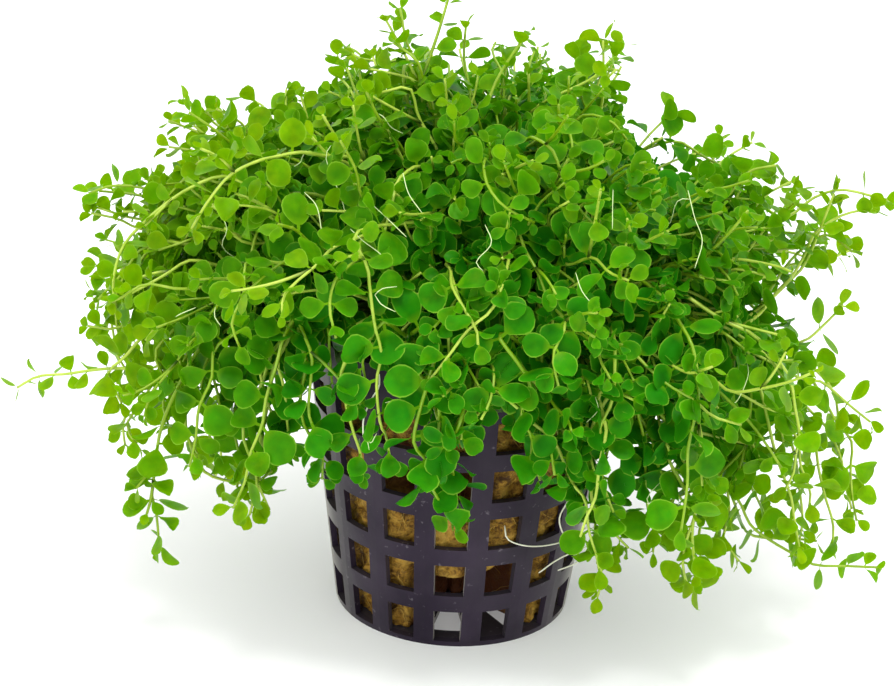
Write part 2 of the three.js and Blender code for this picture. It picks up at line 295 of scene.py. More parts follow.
# Fine roots
THREADS = 22
ROOT_RADIUS = 0.12
THREAD_RADIUS = 0.065
ROOT_TIP = 0.7
ROOT_SIDES = 6
ROOT_STEP = 0.8
THREAD_LENGTH = (4, 11)
THREAD_SHARES = (0.15, 0.9)
THREAD_STARTS = (0.94, 1.0)
THREAD_POINTS = 9
THREAD_BEND = 0.4
THREAD_CURL = 0.06
THREAD_CURLS = 7

# The photograph's frame, and the mass's outline in its pixels: shoots of the mass end there
FRAME_WIDTH = 894
FRAME_HEIGHT = 686
MASS_OUTLINE = [
    (84, 186), (130, 176), (178, 164), (186, 146), (160, 122), (176, 100), (212, 92), (222, 112),
    (236, 98), (250, 84), (302, 84), (318, 98), (320, 76), (338, 66), (342, 46), (366, 50),
    (380, 62), (384, 36), (410, 34), (430, 48), (440, 58), (456, 66), (462, 26), (474, 44),
    (510, 40), (520, 60), (540, 46), (556, 80), (568, 76), (566, 42), (588, 30), (624, 40),
    (622, 70), (616, 112), (632, 150), (652, 166), (670, 188), (686, 186), (696, 156), (716, 146),
    (734, 150), (750, 158), (786, 168), (802, 190), (812, 214), (842, 226), (862, 252), (836, 264),
    (800, 268), (790, 274), (744, 284), (736, 300), (742, 322), (772, 332), (822, 316), (842, 330),
    (826, 352), (846, 362), (868, 384), (840, 400), (830, 412), (866, 424), (826, 436), (852, 452),
    (848, 486), (862, 530), (848, 560), (790, 558), (752, 572), (716, 576), (704, 566), (700, 600),
    (680, 600), (682, 552), (664, 524), (656, 540), (650, 568), (632, 576), (618, 550), (606, 556),
    (600, 598), (588, 560), (576, 528), (560, 484), (544, 486), (528, 478), (520, 444), (504, 430),
    (494, 456), (476, 456), (468, 436), (456, 450), (449, 490), (430, 490), (404, 472), (370, 462),
    (362, 440), (338, 432), (342, 486), (312, 486), (306, 464), (284, 452), (266, 460), (280, 510),
    (256, 524), (214, 514), (234, 494), (206, 474), (186, 472), (178, 446), (166, 440), (180, 500),
    (168, 550), (140, 526), (134, 490), (146, 474), (112, 462), (108, 424), (124, 402), (100, 396),
    (96, 366), (70, 332), (98, 302), (82, 286), (104, 258), (96, 222),
]
MOUTH_GAP = [(318, 334), (346, 342), (398, 362), (420, 372), (414, 402), (384, 398), (350, 384), (322, 380)]
MOUTH_GAP_DEPTH = -12.0

# Sprigs: single stems that stand clear of the mass, by the points that they pass outside it
SPRIGS = {
    "left_trailing": [(-32, -16, 44), (-48, -12, 41), (-62, -8, 39), (-69, -6, 35)],
    "left_high": [(-43, 4, 62), (-53, 4, 66), (-59, 4, 64)],
    "left_middle": [(-49, -4, 50), (-58, -2, 50)],
    "left_upper": [(-33, 12, 70), (-40, 15, 73), (-46, 16, 76)],
    "left_hanging": [(-34, -20, 57), (-43, -22, 42), (-46, -22, 30), (-45, -22, 17)],
    "left_low": [(-31, -26, 42), (-30, -27, 32), (-31, -26, 25)],
    "top_left": [(-29, 22, 66), (-33, 25, 71), (-37, 28, 73)],
    "top_back": [(-16, 14, 76), (-19, 18, 81), (-22, 20, 83)],
    "top_tall": [(-6, 0, 78), (-9, 2, 89), (-12, 4, 96)],
    "top_middle": [(2, -4, 82), (4, -2, 90), (7, 0, 94)],
    "top_right": [(17, 6, 76), (19, 8, 85), (19, 9, 91)],
    "right_upper": [(25, 14, 70), (28, 16, 74), (31, 18, 77)],
    "right_back": [(35, 20, 64), (41, 24, 68), (45, 26, 70)],
    "right_high": [(43, -2, 66), (55, -2, 72), (65, -2, 71)],
    "right_middle": [(52, 14, 54), (61, 16, 56)],
    "right_outer": [(50, -10, 46), (57, -10, 43), (63, -10, 38)],
    "right_hanging": [(51, 0, 45), (60, -1, 32), (64, -2, 17)],
    "right_low": [(36, -18, 40), (46, -16, 22), (57, -14, 15), (66, -14, 15)],
    "right_front": [(30, -28, 42), (35, -29, 30), (37, -27, 18)],
    "front_right": [(10, -36, 48), (17, -34, 37), (22, -31, 20)],
    "front_left": [(-17, -36, 56), (-16, -36, 46), (-14, -33, 36)],
    "front_middle": [(-4, -38, 52), (-2, -36, 41), (0, -30, 31)],
    "back_left": [(-30, 36, 50), (-38, 44, 40), (-40, 45, 27)],
    "back_middle": [(2, 46, 52), (4, 53, 42), (4, 53, 30)],
    "back_right": [(32, 36, 48), (40, 43, 36), (42, 44, 22)],
    "back_high": [(8, 34, 74), (10, 40, 80)],
}

# Twigs: lesser stems at the edge of the mass that belong to the nearest tuft
TWIGS = {
    "right_skirt_outer": [(46, -2, 49), (52, -4, 38), (56, -5, 30), (58, -5, 22), (60, -6, 14)],
    "right_skirt_inner": [(38, -16, 55), (45, -18, 44), (48, -18, 36), (51, -18, 28), (53, -18, 20)],
    "right_skirt_back": [(53, 4, 43), (59, 4, 36), (61, 2, 29), (62, 2, 22)],
    "right_skirt_middle": [(42, -8, 50), (50, -10, 38), (54, -10, 30), (55, -10, 22)],
    "left_skirt_outer": [(-35, -24, 54), (-38, -27, 44), (-39, -27, 37), (-40, -27, 33)],
    "left_skirt_middle": [(-27, -30, 54), (-29, -32, 44), (-31, -32, 35), (-33, -32, 29)],
    "left_skirt_inner": [(-22, -32, 55), (-22, -34, 46), (-20, -33, 40), (-20, -33, 36)],
    "left_skirt_low": [(-40, -16, 50), (-44, -18, 42), (-44, -18, 35)],
    "left_edge_upper": [(-47, 6, 59), (-54, 6, 60), (-58, 6, 61)],
    "left_edge_middle": [(-48, 0, 57), (-54, 0, 50), (-58, 0, 48)],
    "left_edge_lower": [(-46, -4, 50), (-52, -6, 46), (-58, -6, 46)],
    "left_edge_low": [(-45, -10, 49), (-51, -12, 45), (-54, -12, 39), (-52, -12, 36)],
    "front_fall_left": [(-16, -34, 75), (-13, -37, 66), (-12, -38, 56), (-11, -38, 45), (-10, -36, 40)],
    "front_fall_middle": [(-5, -37, 62), (-5, -39, 53), (-6, -38, 44), (-3, -35, 35), (0, -32, 28)],
    "front_fall_right": [(5, -37, 62), (8, -39, 57), (10, -37, 45), (12, -34, 37)],
    "top_left_tip": [(-11, 4, 78), (-14, 6, 84), (-16, 8, 87)],
    "top_middle_tip": [(-1, 4, 84), (-2, 6, 89), (-2, 6, 93)],
    "foot_right_near": [(20, -34, 50), (19, -33, 39), (22, -30, 24), (22, -28, 15)],
    "foot_right_middle": [(26, -30, 46), (29, -28, 32), (30, -26, 22)],
    "foot_right_far": [(35, -26, 34), (35, -25, 24), (36, -24, 15)],
    "foot_right_hanging": [(37, -22, 32), (37, -22, 21), (37, -20, 14)],
    "foot_right_pair": [(41, -18, 27), (42, -18, 19), (44, -18, 17)],
    "top_tall_left": [(-10, 2, 87), (-12, 3, 91), (-14, 4, 94)],
    "top_right_outer": [(19, 7, 81), (20, 9, 86), (22, 10, 90)],
    "top_right_inner": [(18, 7, 80), (16, 8, 85), (15, 8, 88)],
    "left_top_low": [(-39, 14, 66), (-45, 16, 67), (-48, 16, 68)],
    "left_top_high": [(-39, 15, 69), (-44, 17, 72), (-48, 17, 72)],
    "left_shoulder_high": [(-48, 8, 61), (-53, 8, 63), (-58, 8, 63)],
    "left_shoulder_middle": [(-48, 6, 57), (-54, 6, 59), (-59, 6, 60)],
    "left_shoulder_lower": [(-48, 4, 53), (-53, 4, 53), (-58, 4, 52)],
    "right_fork_up": [(51, -2, 59), (54, -2, 67), (55, -2, 72)],
    "right_fork_out": [(51, -2, 60), (54, -2, 67), (58, -2, 68), (61, -2, 70)],
    "right_fork_low": [(50, 0, 60), (55, 0, 64), (59, 0, 62)],
    "right_notch": [(51, 6, 43), (55, 8, 45), (58, 10, 47), (60, 10, 49)],
    "right_inner_low": [(43, -8, 35), (46, -8, 26), (49, -8, 18)],
    "right_inner_near": [(36, -12, 36), (40, -12, 26), (41, -12, 18)],
    "right_inner_far": [(51, -4, 31), (55, -4, 21), (55, -4, 14)],
    "right_inner_outer": [(57, -2, 33), (61, -2, 26), (63, -2, 19)],
    "left_low_outer": [(-47, -10, 39), (-50, -12, 33), (-49, -12, 28)],
    "pot_left_outer": [(-27, -28, 53), (-26, -30, 46), (-25, -30, 39)],
    "pot_left_inner": [(-23, -30, 54), (-23, -32, 47), (-22, -32, 41), (-20, -31, 34)],
    "left_hanging_fork": [(-30, -26, 36), (-30, -26, 30), (-28, -26, 26)],
    "left_low_fork": [(-46, -14, 46), (-44, -14, 38), (-42, -14, 33), (-40, -14, 29)],
    "left_low_far": [(-46, -8, 44), (-48, -8, 37), (-52, -8, 32), (-52, -8, 27)],
    "left_low_pair": [(-38, -20, 50), (-37, -22, 42), (-37, -22, 35), (-36, -22, 32)],
    "left_low_near": [(-30, -24, 54), (-29, -26, 44), (-26, -27, 40), (-24, -27, 36)],
    "left_low_arch": [(-42, -20, 38), (-41, -20, 32), (-37, -20, 28), (-33, -20, 27), (-28, -23, 31)],
    "left_side_low": [(-49, -2, 53), (-53, -2, 54), (-56, -2, 52)],
    "right_arch": [(26, 14, 71), (29, 15, 73), (32, 16, 74), (36, 16, 71), (40, 16, 69)],
    "right_top_near": [(34, 6, 64), (38, 8, 67), (43, 9, 70), (46, 10, 71)],
    "right_top_far": [(41, 8, 64), (46, 10, 67), (50, 11, 69)],
    "right_top_low": [(45, 4, 63), (49, 6, 67), (51, 8, 69)],
    "mouth_left": [(-21, -27, 58), (-20, -29, 55), (-19, -30, 52), (-19, -30, 49)],
    "mouth_right": [(-12, -36, 62), (-13, -36, 59), (-15, -36, 55), (-14, -35, 52)],
    "foot_right_first": [(21, -30, 42), (21, -30, 37), (23, -30, 29), (26, -29, 24)],
    "right_bottom": [(41, -6, 30), (43, -6, 22), (47, -6, 16), (53, -4, 13), (58, -2, 13)],
}

# Lone stems with leaves of their own kind: the distance between pairs, and the scales of leaves and tip
HABITS = {
    "left_trailing": (2.8, 0.72, 0.8),
    "left_hanging": (3.3, 0.98, 0.85),
    "left_high": (3.2, 0.8, 0.8),
    "left_low_arch": (5.5, 0.7, 0.7),
    "top_right": (3.2, 1.1, 0.9),
    "top_right_outer": (3.4, 1.0, 0.85),
    "top_right_inner": (3.4, 1.0, 0.85),
    "top_tall": (3.4, 0.8, 0.9),
    "right_upper": (6.0, 0.9, 1.1),
    "right_arch": (6.5, 0.85, 0.8),
    "right_high": (5.0, 0.85, 1.05),
    "right_fork_out": (5.0, 0.85, 0.9),
    "right_back": (4.4, 0.8, 0.7),
    "foot_right_hanging": (5.5, 0.9, 1.0),
}

# Colours, in linear light
# Greens at the plant's edges are yellower and lighter than over the pot: partly younger growth, partly
# painted light that lifts the shade inside the outer mass
LEAF_GREENS = {
    "over the pot": [(0.014, 0.2, 0.004), (0.034, 0.228, 0.002), (0.1, 0.295, 0.002)],
    "at the edges": [(0.075, 0.29, 0.001), (0.145, 0.33, 0.001), (0.25, 0.4, 0.001)],
}
# Paler greens towards each leaf's edge and tip: painted light, as cupped leaves catch it there
LEAF_PALE_GREENS = [(0.065, 0.38, 0.004), (0.26, 0.47, 0.003)]
LEAF_LIGHT_THROUGH = [(0.055, 0.46, 0.003), (0.27, 0.56, 0.001)]
# A thin pale rim on each leaf: painted highlight where light catches the leaf's edge
LEAF_RIM_HIGHLIGHT = (0.34, 0.62, 0.05)
LEAF_OLD_SPOT = (0.17, 0.13, 0.01)
STALK_GREEN = (0.22, 0.44, 0.006)
STEM_GREENS = [(0.22, 0.42, 0.007), (0.28, 0.45, 0.008)]
STEM_PALE = (0.52, 0.68, 0.08)
# Near-black green at the stems' feet: painted shade deep in the mass
STEM_FOOT_SHADE = (0.025, 0.075, 0.005)
ROOT_WHITES = [(0.85, 0.85, 0.72), (0.62, 0.62, 0.45)]
THREAD_GREEN = (0.62, 0.76, 0.36)
POT_DARKS = [(0.009, 0.006, 0.013), (0.022, 0.015, 0.028)]
POT_DUST = (0.27, 0.24, 0.27)
WOOL_AMBERS = [(0.1, 0.045, 0.005), (0.38, 0.205, 0.025)]
WOOL_LIGHT = (0.54, 0.335, 0.058)
# Dark clefts between the lumps: painted shade
WOOL_CLEFT_SHADE = (0.04, 0.016, 0.004)
WOOL_LOOSE = (0.66, 0.42, 0.09)
# Dark brown in the hollows and under the plug: painted shade
WOOL_HOLLOW_SHADE = (0.085, 0.02, 0.007)
FLOOR_WHITES = [(0.78, 0.78, 0.78), (0.8, 0.8, 0.8)]

# Fine white roots that hang free over the pot, by the points that they pass
ROOTS = [
    [(7.5, -22.6, 23.5), (8.2, -23.6, 21.6), (12, -22.6, 20.2), (17, -19.5, 19.8), (22, -17, 21.5)],
    [(13.2, -20.5, 14.6), (16.5, -19, 16.6), (22, -17, 18.5)],
    [(16.2, -18.6, 14.2), (19, -17.4, 15), (22, -16, 17)],
    [(17, -20, 27), (15.8, -20.6, 24), (17.2, -20, 20.6), (19.6, -18.4, 21), (22, -17, 24)],
    [(-12, -37, 54), (-12, -37, 52), (-13, -37, 50), (-14, -37, 47), (-14, -37, 44)],
]

# Finer ones that lie over the front of the mass
FRONT_THREADS = [
    [(-17, -32, 74), (-15, -34, 73), (-13, -35, 72), (-11, -37, 71)],
    [(-14, -30, 77), (-12, -32, 76), (-9, -34, 74)],
    [(2, -33, 76), (3, -35, 74), (1, -37, 72), (2, -38, 71)],
    [(-13, -39, 67), (-12, -39, 68), (-10, -38, 68)],
    [(-13, -39, 67), (-12, -40, 66), (-10, -40, 65)],
    [(-24, -26, 77), (-22, -29, 76), (-21, -32, 73)],
    [(-10, -27, 81), (-9, -30, 79), (-7, -32, 77)],
    [(-39, -30, 60), (-41, -30, 59), (-42, -29, 58)],
    [(-36, -32, 61), (-36, -33, 60), (-35, -34, 59)],
    [(15, -37, 71), (16, -39, 69), (18, -40, 67)],
    [(20, -27, 80), (20, -29, 78), (20, -32, 76)],
    [(31, -23, 79), (32, -26, 76), (33, -30, 74), (32, -33, 71)],
    [(-11, -38, 50), (-9, -38, 50.5), (-7, -38, 49)],
    [(-7, -38, 57), (-6, -38, 55)],
    [(19, -37, 52), (19.5, -37, 50), (18, -37, 48)],
]


# Meshes

class Parts:
    """Vertices, faces and tints gathered from many small shapes, to be joined in one mesh."""

    def __init__(self):
        self.points, self.form, self.kind = [], [], []
        self.faces = {3: [], 4: []}
        self.count = 0

    def add(self, points, faces, form=(0, 0, 0), kind=(0, 0, 0)):
        for face_set in faces:
            if len(face_set):
                self.faces[face_set.shape[1]].append(face_set + self.count)
        self.points.append(points)
        self.form.append(np.broadcast_to(form, points.shape))
        self.kind.append(np.broadcast_to(kind, points.shape))
        self.count += len(points)


def add_object(name, data):
    made = bpy.data.objects.new(name, data)
    bpy.context.scene.collection.objects.link(made)
    return made


def mesh_object(name, parts, material):
    mesh = bpy.data.meshes.new(name)
    points = np.concatenate(parts.points) * MM
    sets = [np.concatenate(faces) for faces in parts.faces.values() if faces]
    corners = np.concatenate([faces.ravel() for faces in sets])
    totals = np.concatenate([np.full(len(faces), faces.shape[1]) for faces in sets])
    mesh.vertices.add(len(points))
    mesh.vertices.foreach_set("co", points.ravel())
    mesh.loops.add(len(corners))
    mesh.loops.foreach_set("vertex_index", corners)
    mesh.polygons.add(len(totals))
    mesh.polygons.foreach_set("loop_start", np.concatenate([[0], np.cumsum(totals)[:-1]]))
    mesh.polygons.foreach_set("loop_total", totals)
    mesh.polygons.foreach_set("use_smooth", np.ones(len(totals), bool))
    mesh.update(calc_edges=True)
    for label, values in (("form", parts.form), ("kind", parts.kind)):
        rgb = np.concatenate(values)
        rgba = np.concatenate([rgb, np.ones((len(rgb), 1))], axis=1)
        attribute = mesh.color_attributes.new(label, "FLOAT_COLOR", "POINT")
        attribute.data.foreach_set("color", rgba.ravel())
    mesh.validate()
    mesh.materials.append(material)
    return add_object(name, mesh)


def dress(piece, slot, *nodes):
    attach(piece, "root")
    if nodes:
        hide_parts(*nodes)
    return piece


def unit(vectors):
    return vectors / np.maximum(np.linalg.norm(vectors, axis=-1, keepdims=True), 1e-9)


def grid_faces(rows, columns, wrap=False):
    """Quads of a grid of points that is stored row by row."""
    row, column = np.meshgrid(np.arange(rows - 1), np.arange(columns - (not wrap)), indexing="ij")
    here = row * columns + column
    right = row * columns + (column + 1) % columns
    return np.stack([here, right, right + columns, here + columns], axis=-1).reshape(-1, 4)


def tube(path, radii, sides):
    """A round tube along a path, closed with a point at each end."""
    along = unit(np.gradient(path, axis=0))
    side = np.cross(along[0], (0.3, 0.1, 1.0) if abs(along[0][2]) < 0.9 else (1.0, 0.2, 0.1))
    frames = []
    for direction in along:
        side = side - direction * np.dot(side, direction)
        side = side / max(np.linalg.norm(side), 1e-9)
        frames.append((side, np.cross(direction, side)))
    turns = 2 * np.pi * np.arange(sides) / sides
    frames = np.array(frames)
    ring = frames[:, :1] * np.cos(turns)[None, :, None] + frames[:, 1:] * np.sin(turns)[None, :, None]
    rings = path[:, None] + ring * np.asarray(radii)[:, None, None]
    count = len(path) * sides
    points = np.concatenate([rings.reshape(-1, 3), path[:1], path[-1:]])
    ends = np.arange(sides)
    after = (ends + 1) % sides
    first = np.stack([np.full(sides, count), after, ends], axis=1)
    last = np.stack([np.full(sides, count + 1), count - sides + ends, count - sides + after], axis=1)
    return points, [grid_faces(len(path), sides, wrap=True), first, last]


def smooth_path(points, step):
    """A Catmull-Rom curve through the points, in even steps."""
    points = np.asarray(points, float)
    ends = np.vstack([2 * points[0] - points[1], points, 2 * points[-1] - points[-2]])
    t = np.linspace(0, 1, CURVE_POINTS, endpoint=False)[:, None]
    pieces = []
    for a, b, c, d in zip(ends, ends[1:], ends[2:], ends[3:]):
        cubic = 2 * b + (c - a) * t + (2 * a - 5 * b + 4 * c - d) * t**2
        pieces.append((cubic + (3 * b - 3 * c + d - a) * t**3) / 2)
    return even_steps(np.vstack([*pieces, points[-1:]]), step)


def even_steps(path, step):
    lengths = np.concatenate([[0], np.cumsum(np.linalg.norm(np.diff(path, axis=0), axis=1))])
    count = max(3, int(round(lengths[-1] / step)) + 1)
    places = np.linspace(0, lengths[-1], count)
    return np.stack([np.interp(places, lengths, path[:, axis]) for axis in range(3)], axis=1)


# The plant's flow, as in the construction

def frontness(azimuth):
    return np.maximum(0, -np.sin(azimuth)) ** 2


def backness(azimuth):
    return np.maximum(0, np.sin(azimuth)) ** 2


def hang_angle(azimuth):
    return np.radians(
        HANG_DEG + HANG_LEAN_DEG * np.cos(azimuth) - HANG_FRONT_CUT_DEG * frontness(azimuth)
    )


def mop_reach(azimuth, tilt):
    cuts = MOP_FRONT_CUT * frontness(azimuth) + MOP_BACK_CUT * backness(azimuth)
    side = MOP_SIDE + MOP_SIDE_LEAN * np.cos(azimuth) - cuts
    under = np.maximum(0, tilt - np.pi / 2)
    return MOP_TOP + (side - MOP_TOP) * np.sin(np.minimum(tilt, np.pi / 2)) ** 3 - UNDER_CUT * under


def flow(share, azimuth, t):
    """Where a stem is after part t of its way to the outside of the mop."""
    tilt = hang_angle(azimuth) * share
    reach = mop_reach(azimuth, tilt)
    end_out, end_up = reach * np.sin(tilt), MOP_CENTRE_Z + reach * np.cos(tilt)
    bend_out, bend_up = end_out * (BEND_OUT + BEND_OUT_GROWTH * share), BEND_Z + BEND_Z_GROWTH * share
    out = (1 - t) ** 2 * CROWN_RADIUS * share + 2 * t * (1 - t) * bend_out + t * t * end_out
    up = (1 - t) ** 2 * CROWN_Z + 2 * t * (1 - t) * bend_up + t * t * end_up
    return np.stack([out * np.cos(azimuth), out * np.sin(azimuth), up], axis=-1)


def pot_radius(z):
    return POT_FOOT_RADIUS + (POT_TOP_RADIUS - POT_FOOT_RADIUS) * np.clip(z / POT_HEIGHT, 0, 1)


def depth_in_mop(points):
    """How far points are inside the mop's outside."""
    out, up = np.hypot(points[:, 0], points[:, 1]), points[:, 2] - MOP_CENTRE_Z
    reach = mop_reach(np.arctan2(points[:, 1], points[:, 0]), np.arctan2(out, up))
    return reach - np.hypot(out, up)


def outer_share(points):
    """How far out on the plant points are, from 0 over the pot to 1 at its far edges."""
    up = points[:, 2] - MOP_CENTRE_Z
    reach_up = np.where(up < 0, OUTER_REACH_DOWN, OUTER_REACH_UP)
    across, behind = (points[:, 0] - OUTER_CENTRE_X) / OUTER_REACH_X, points[:, 1] / OUTER_REACH_Y
    out = np.linalg.norm([across, behind, up / reach_up], axis=0)
    return np.clip((out - OUTER_START) / OUTER_SPAN, 0, 1)


def camera_axes():
    """The camera's right, up and backward directions."""
    away = np.array([0, -math.cos(CAMERA_ELEVATION), math.sin(CAMERA_ELEVATION)])
    right, up = np.array([1.0, 0, 0]), np.array([0, math.sin(CAMERA_ELEVATION), math.cos(CAMERA_ELEVATION)])
    cos_roll, sin_roll = math.cos(CAMERA_ROLL), math.sin(CAMERA_ROLL)
    return cos_roll * right + sin_roll * up, cos_roll * up - sin_roll * right, away


def in_picture(points):
    """Where points come out in the photograph's frame, in its pixels."""
    right, up, away = camera_axes()
    from_camera = points - (np.array(CAMERA_TARGET) + CAMERA_DISTANCE * away)
    scale = -CAMERA_LENS / CAMERA_SENSOR * FRAME_WIDTH / (from_camera @ away)
    across, down = from_camera @ right * scale, -(from_camera @ up) * scale
    return np.stack([FRAME_WIDTH / 2 + across, FRAME_HEIGHT / 2 + down], axis=-1)


def within(outline, places):
    """Which places lie inside a closed outline."""
    inside = np.zeros(len(places), bool)
    x, y = places[:, 0], places[:, 1]
    for (ax, ay), (bx, by) in zip(outline, outline[1:] + outline[:1]):
        if ay != by:
            inside ^= ((y < ay) != (y < by)) & (x < ax + (y - ay) * (bx - ax) / (by - ay))
    return inside


def in_gap(points):
    """Which points hang in the gap at the front through which the pot's mouth shows."""
    return within(MOUTH_GAP, in_picture(points)) & (points[:, 1] < MOUTH_GAP_DEPTH)


def in_box(points, inset):
    low, high = (np.array(corner) / MM for corner in cad_box)
    low[2] = -inset
    return ((points > low + inset) & (points < high - inset)).all(axis=1)


def kept(points):
    """Which points stay in the mass: inside its outline, and clear of the gap over the pot's mouth."""
    return within(MASS_OUTLINE, in_picture(points)) & ~in_gap(points) & in_box(points, BOX_INSET)


def clear_of_pot(points, room):
    """Moves points that are beside the pot and too near it straight out, and lifts them off the floor."""
    points = points.copy()
    out = np.linalg.norm(points[:, :2], axis=1)
    need = pot_radius(points[:, 2]) + room
    close = (points[:, 2] < POT_HEIGHT + room) & (out < need) & (out > MOUTH_RADIUS)
    points[close, :2] *= (need[close] / out[close])[:, None]
    points[:, 2] = np.maximum(points[:, 2], FLOOR_ROOM)
    return points


def tuft_plans():
    plans = []
    for ring in TUFT_RINGS:
        for i in range(ring["count"]):
            several = ring["count"] > 1
            plans.append({
                "name": f"tuft_{ring['name']}_{i + 1:02d}",
                "share": (ring["from"] + ring["to"]) / 2 if several else 0.0,
                "azimuth": math.radians(ring["turn"] + 360 * i / ring["count"]),
                "low": ring["from"],
                "high": ring["to"],
                "half_turn": math.pi / ring["count"],
            })
    return plans


def tuft_area(plan):
    """The part of the mop's outside that a tuft covers."""
    shares = np.linspace(plan["low"], plan["high"], 8)
    tilt = hang_angle(plan["azimuth"]) * shares
    reach = mop_reach(plan["azimuth"], tilt)
    return float(np.mean(reach**2 * np.sin(tilt)) * (plan["high"] - plan["low"]) * plan["half_turn"])


def tuft_nearest(plans, point):
    azimuth = math.atan2(point[1], point[0])
    tilt = math.atan2(math.hypot(point[0], point[1]), point[2] - MOP_CENTRE_Z)
    share = min(1.0, tilt / float(hang_angle(azimuth)))
    place = share * np.exp(1j * azimuth)
    return min(plans, key=lambda plan: abs(plan["share"] * np.exp(1j * plan["azimuth"]) - place))


# Leaves

def leaf_template(blade_rows):
    """A leaf of unit length along X: for each vertex, how far along and across it is, and its tints."""
    blade = (1 - np.cos(np.pi * np.arange(blade_rows) / blade_rows)) / 2
    along = np.concatenate([[0.0], PETIOLE_SHARE + (1 - PETIOLE_SHARE) * blade])
    blade = np.concatenate([[0.0], blade])
    round_half, spoon_half = (
        0.5 * np.sin(np.pi * blade**lean) ** fullness for lean, fullness in (ROUND_SHAPE, SPOON_SHAPE)
    )
    rows, columns = len(along), 3
    u = np.repeat(along, columns)
    v = np.tile([-1.0, 0.0, 1.0], rows)
    petiole = np.repeat(np.clip(1 - (along - PETIOLE_SHARE * 0.8) / PETIOLE_FADE, 0, 1), columns)
    template = {
        "u": np.append(u, 1.0),
        "v": np.append(v, 0.0),
        "round": np.append(np.repeat(round_half, columns), 0.0),
        "spoon": np.append(np.repeat(spoon_half, columns), 0.0),
        "edge": np.append(np.abs(v), 1.0),
        "petiole": np.append(petiole, 0.0),
    }
    last = (rows - 1) * columns + np.arange(columns)
    tip = np.full(columns - 1, rows * columns)
    template["faces"] = [
        grid_faces(rows, columns),
        np.stack([last[:-1], last[1:], tip], axis=1),
    ]
    return template


class Leaves:
    """Leaves of one tuft: each has a root, a direction to grow in, a direction to face, and a size."""

    def __init__(self):
        self.rows = []

    def add(self, root, growing, facing, length, young, tone, free):
        self.rows.append((*root, *growing, *facing, length, young, tone, free))

    def parts(self, fine, plain):
        """Shapes all the leaves that stay in the mass or stand free, with plain ones deep inside."""
        rows = np.array(self.rows)
        rows[:, 3:6] = leaf_room(rows[:, 0:3], unit(rows[:, 3:6]), rows[:, 9])
        middle = rows[:, 0:3] + rows[:, 3:6] * rows[:, 9:10] * LEAF_MIDDLE
        outer, depth = outer_share(middle), depth_in_mop(middle)
        free = rows[:, 12] > 0
        rows[:, 9] *= FULL_SIZE - np.where(free, FREE_OUTER_SHRINK, OUTER_SHRINK) * outer
        # Deeper leaves get a darker tone: partly older leaves, partly painted shade inside the mass
        age_and_depth_shade = DEPTH_AGE_AND_SHADE * np.clip(depth, 0, DEPTH_AGE_AND_SHADE_REACH)
        rows[:, 11] -= age_and_depth_shade * (1 - OUTER_TONE_EVENNESS * outer)
        stay = kept(middle) | free & in_box(middle, FREE_BOX_INSET)
        stay &= ~in_gap(middle) | (rng.uniform(0, 1, len(rows)) < GAP_LEAVES)
        stay &= (np.hypot(middle[:, 0], middle[:, 1]) > BARE_CROWN_RADIUS) | (middle[:, 2] > BARE_CROWN_TOP)
        deep = depth > PLAIN_DEPTH
        parts = Parts()
        for template, chosen in ((fine, stay & ~deep), (plain, stay & deep)):
            if chosen.any():
                shape_leaves(parts, template, rows[chosen], outer[chosen])
        return parts


def shape_leaves(parts, template, rows, outer):
    root, growing, facing = rows[:, 0:3], rows[:, 3:6], rows[:, 6:9]
    length, young, tone = rows[:, 9], rows[:, 10], rows[:, 11]
    facing = unit(facing - growing * np.sum(facing * growing, axis=1, keepdims=True))
    across = np.cross(facing, growing)
    count = len(rows)
    width = length * rng.uniform(*LEAF_WIDTH, count) * (1 - YOUNG_NARROWING * young)
    spoon = rng.beta(*SPOON_SPREAD, count)
    cup = rng.normal(*LEAF_CUP, count)
    droop = rng.normal(*LEAF_DROOP, count)
    twist = rng.normal(0, LEAF_TWIST, count)
    u, v = template["u"][None], template["v"][None]
    half = template["round"] + (template["spoon"] - template["round"])[None] * spoon[:, None]
    y = v * (half * width[:, None] + PETIOLE_HALF_WIDTH * length[:, None] * (u < PETIOLE_END))
    spread = (y / width[:, None]) ** 2 * 4
    z = cup[:, None] * spread * 0.5 - droop[:, None] * u**2 * 0.5
    z = (z + twist[:, None] * v * u * 0.5) * length[:, None]
    x = u * length[:, None] * (1 - DROOP_SHORTENING * np.abs(droop)[:, None] * u)
    points = root[:, None] + x[..., None] * growing[:, None]
    points = points + y[..., None] * across[:, None] + z[..., None] * facing[:, None]
    size = len(template["u"])
    offsets = np.arange(count) * size
    faces = [(f[None] + offsets[:, None, None]).reshape(-1, f.shape[1]) for f in template["faces"]]
    form = np.stack([
        np.broadcast_to(template["edge"], (count, size)),
        np.broadcast_to(template["petiole"], (count, size)),
        np.broadcast_to(u, (count, size)),
    ], axis=-1)
    kind = np.repeat(np.stack([tone, young, outer], axis=1)[:, None], size, axis=1)
    parts.add(points.reshape(-1, 3), faces, form.reshape(-1, 3), kind.reshape(-1, 3))


def leaf_room(root, growing, length):
    """Turns leaves that would reach into the pot's wall or the floor away from it."""
    for _ in range(3):
        tip = root + growing * length[:, None]
        out = np.linalg.norm(tip[:, :2], axis=1)
        inside = (tip[:, 2] < POT_HEIGHT + LEAF_ROOM_ABOVE) & (out < pot_radius(tip[:, 2]) + LEAF_ROOM)
        inside &= np.linalg.norm(root[:, :2], axis=1) > pot_radius(root[:, 2])
        radial = np.concatenate([tip[:, :2] / np.maximum(out, 1e-6)[:, None], np.zeros((len(tip), 1))], 1)
        growing = unit(growing + radial * TURN_OUT * inside[:, None])
        low = tip[:, 2] < LEAF_ROOM
        growing = unit(growing + np.array([0, 0, TURN_UP]) * low[:, None])
    return growing


# Stems

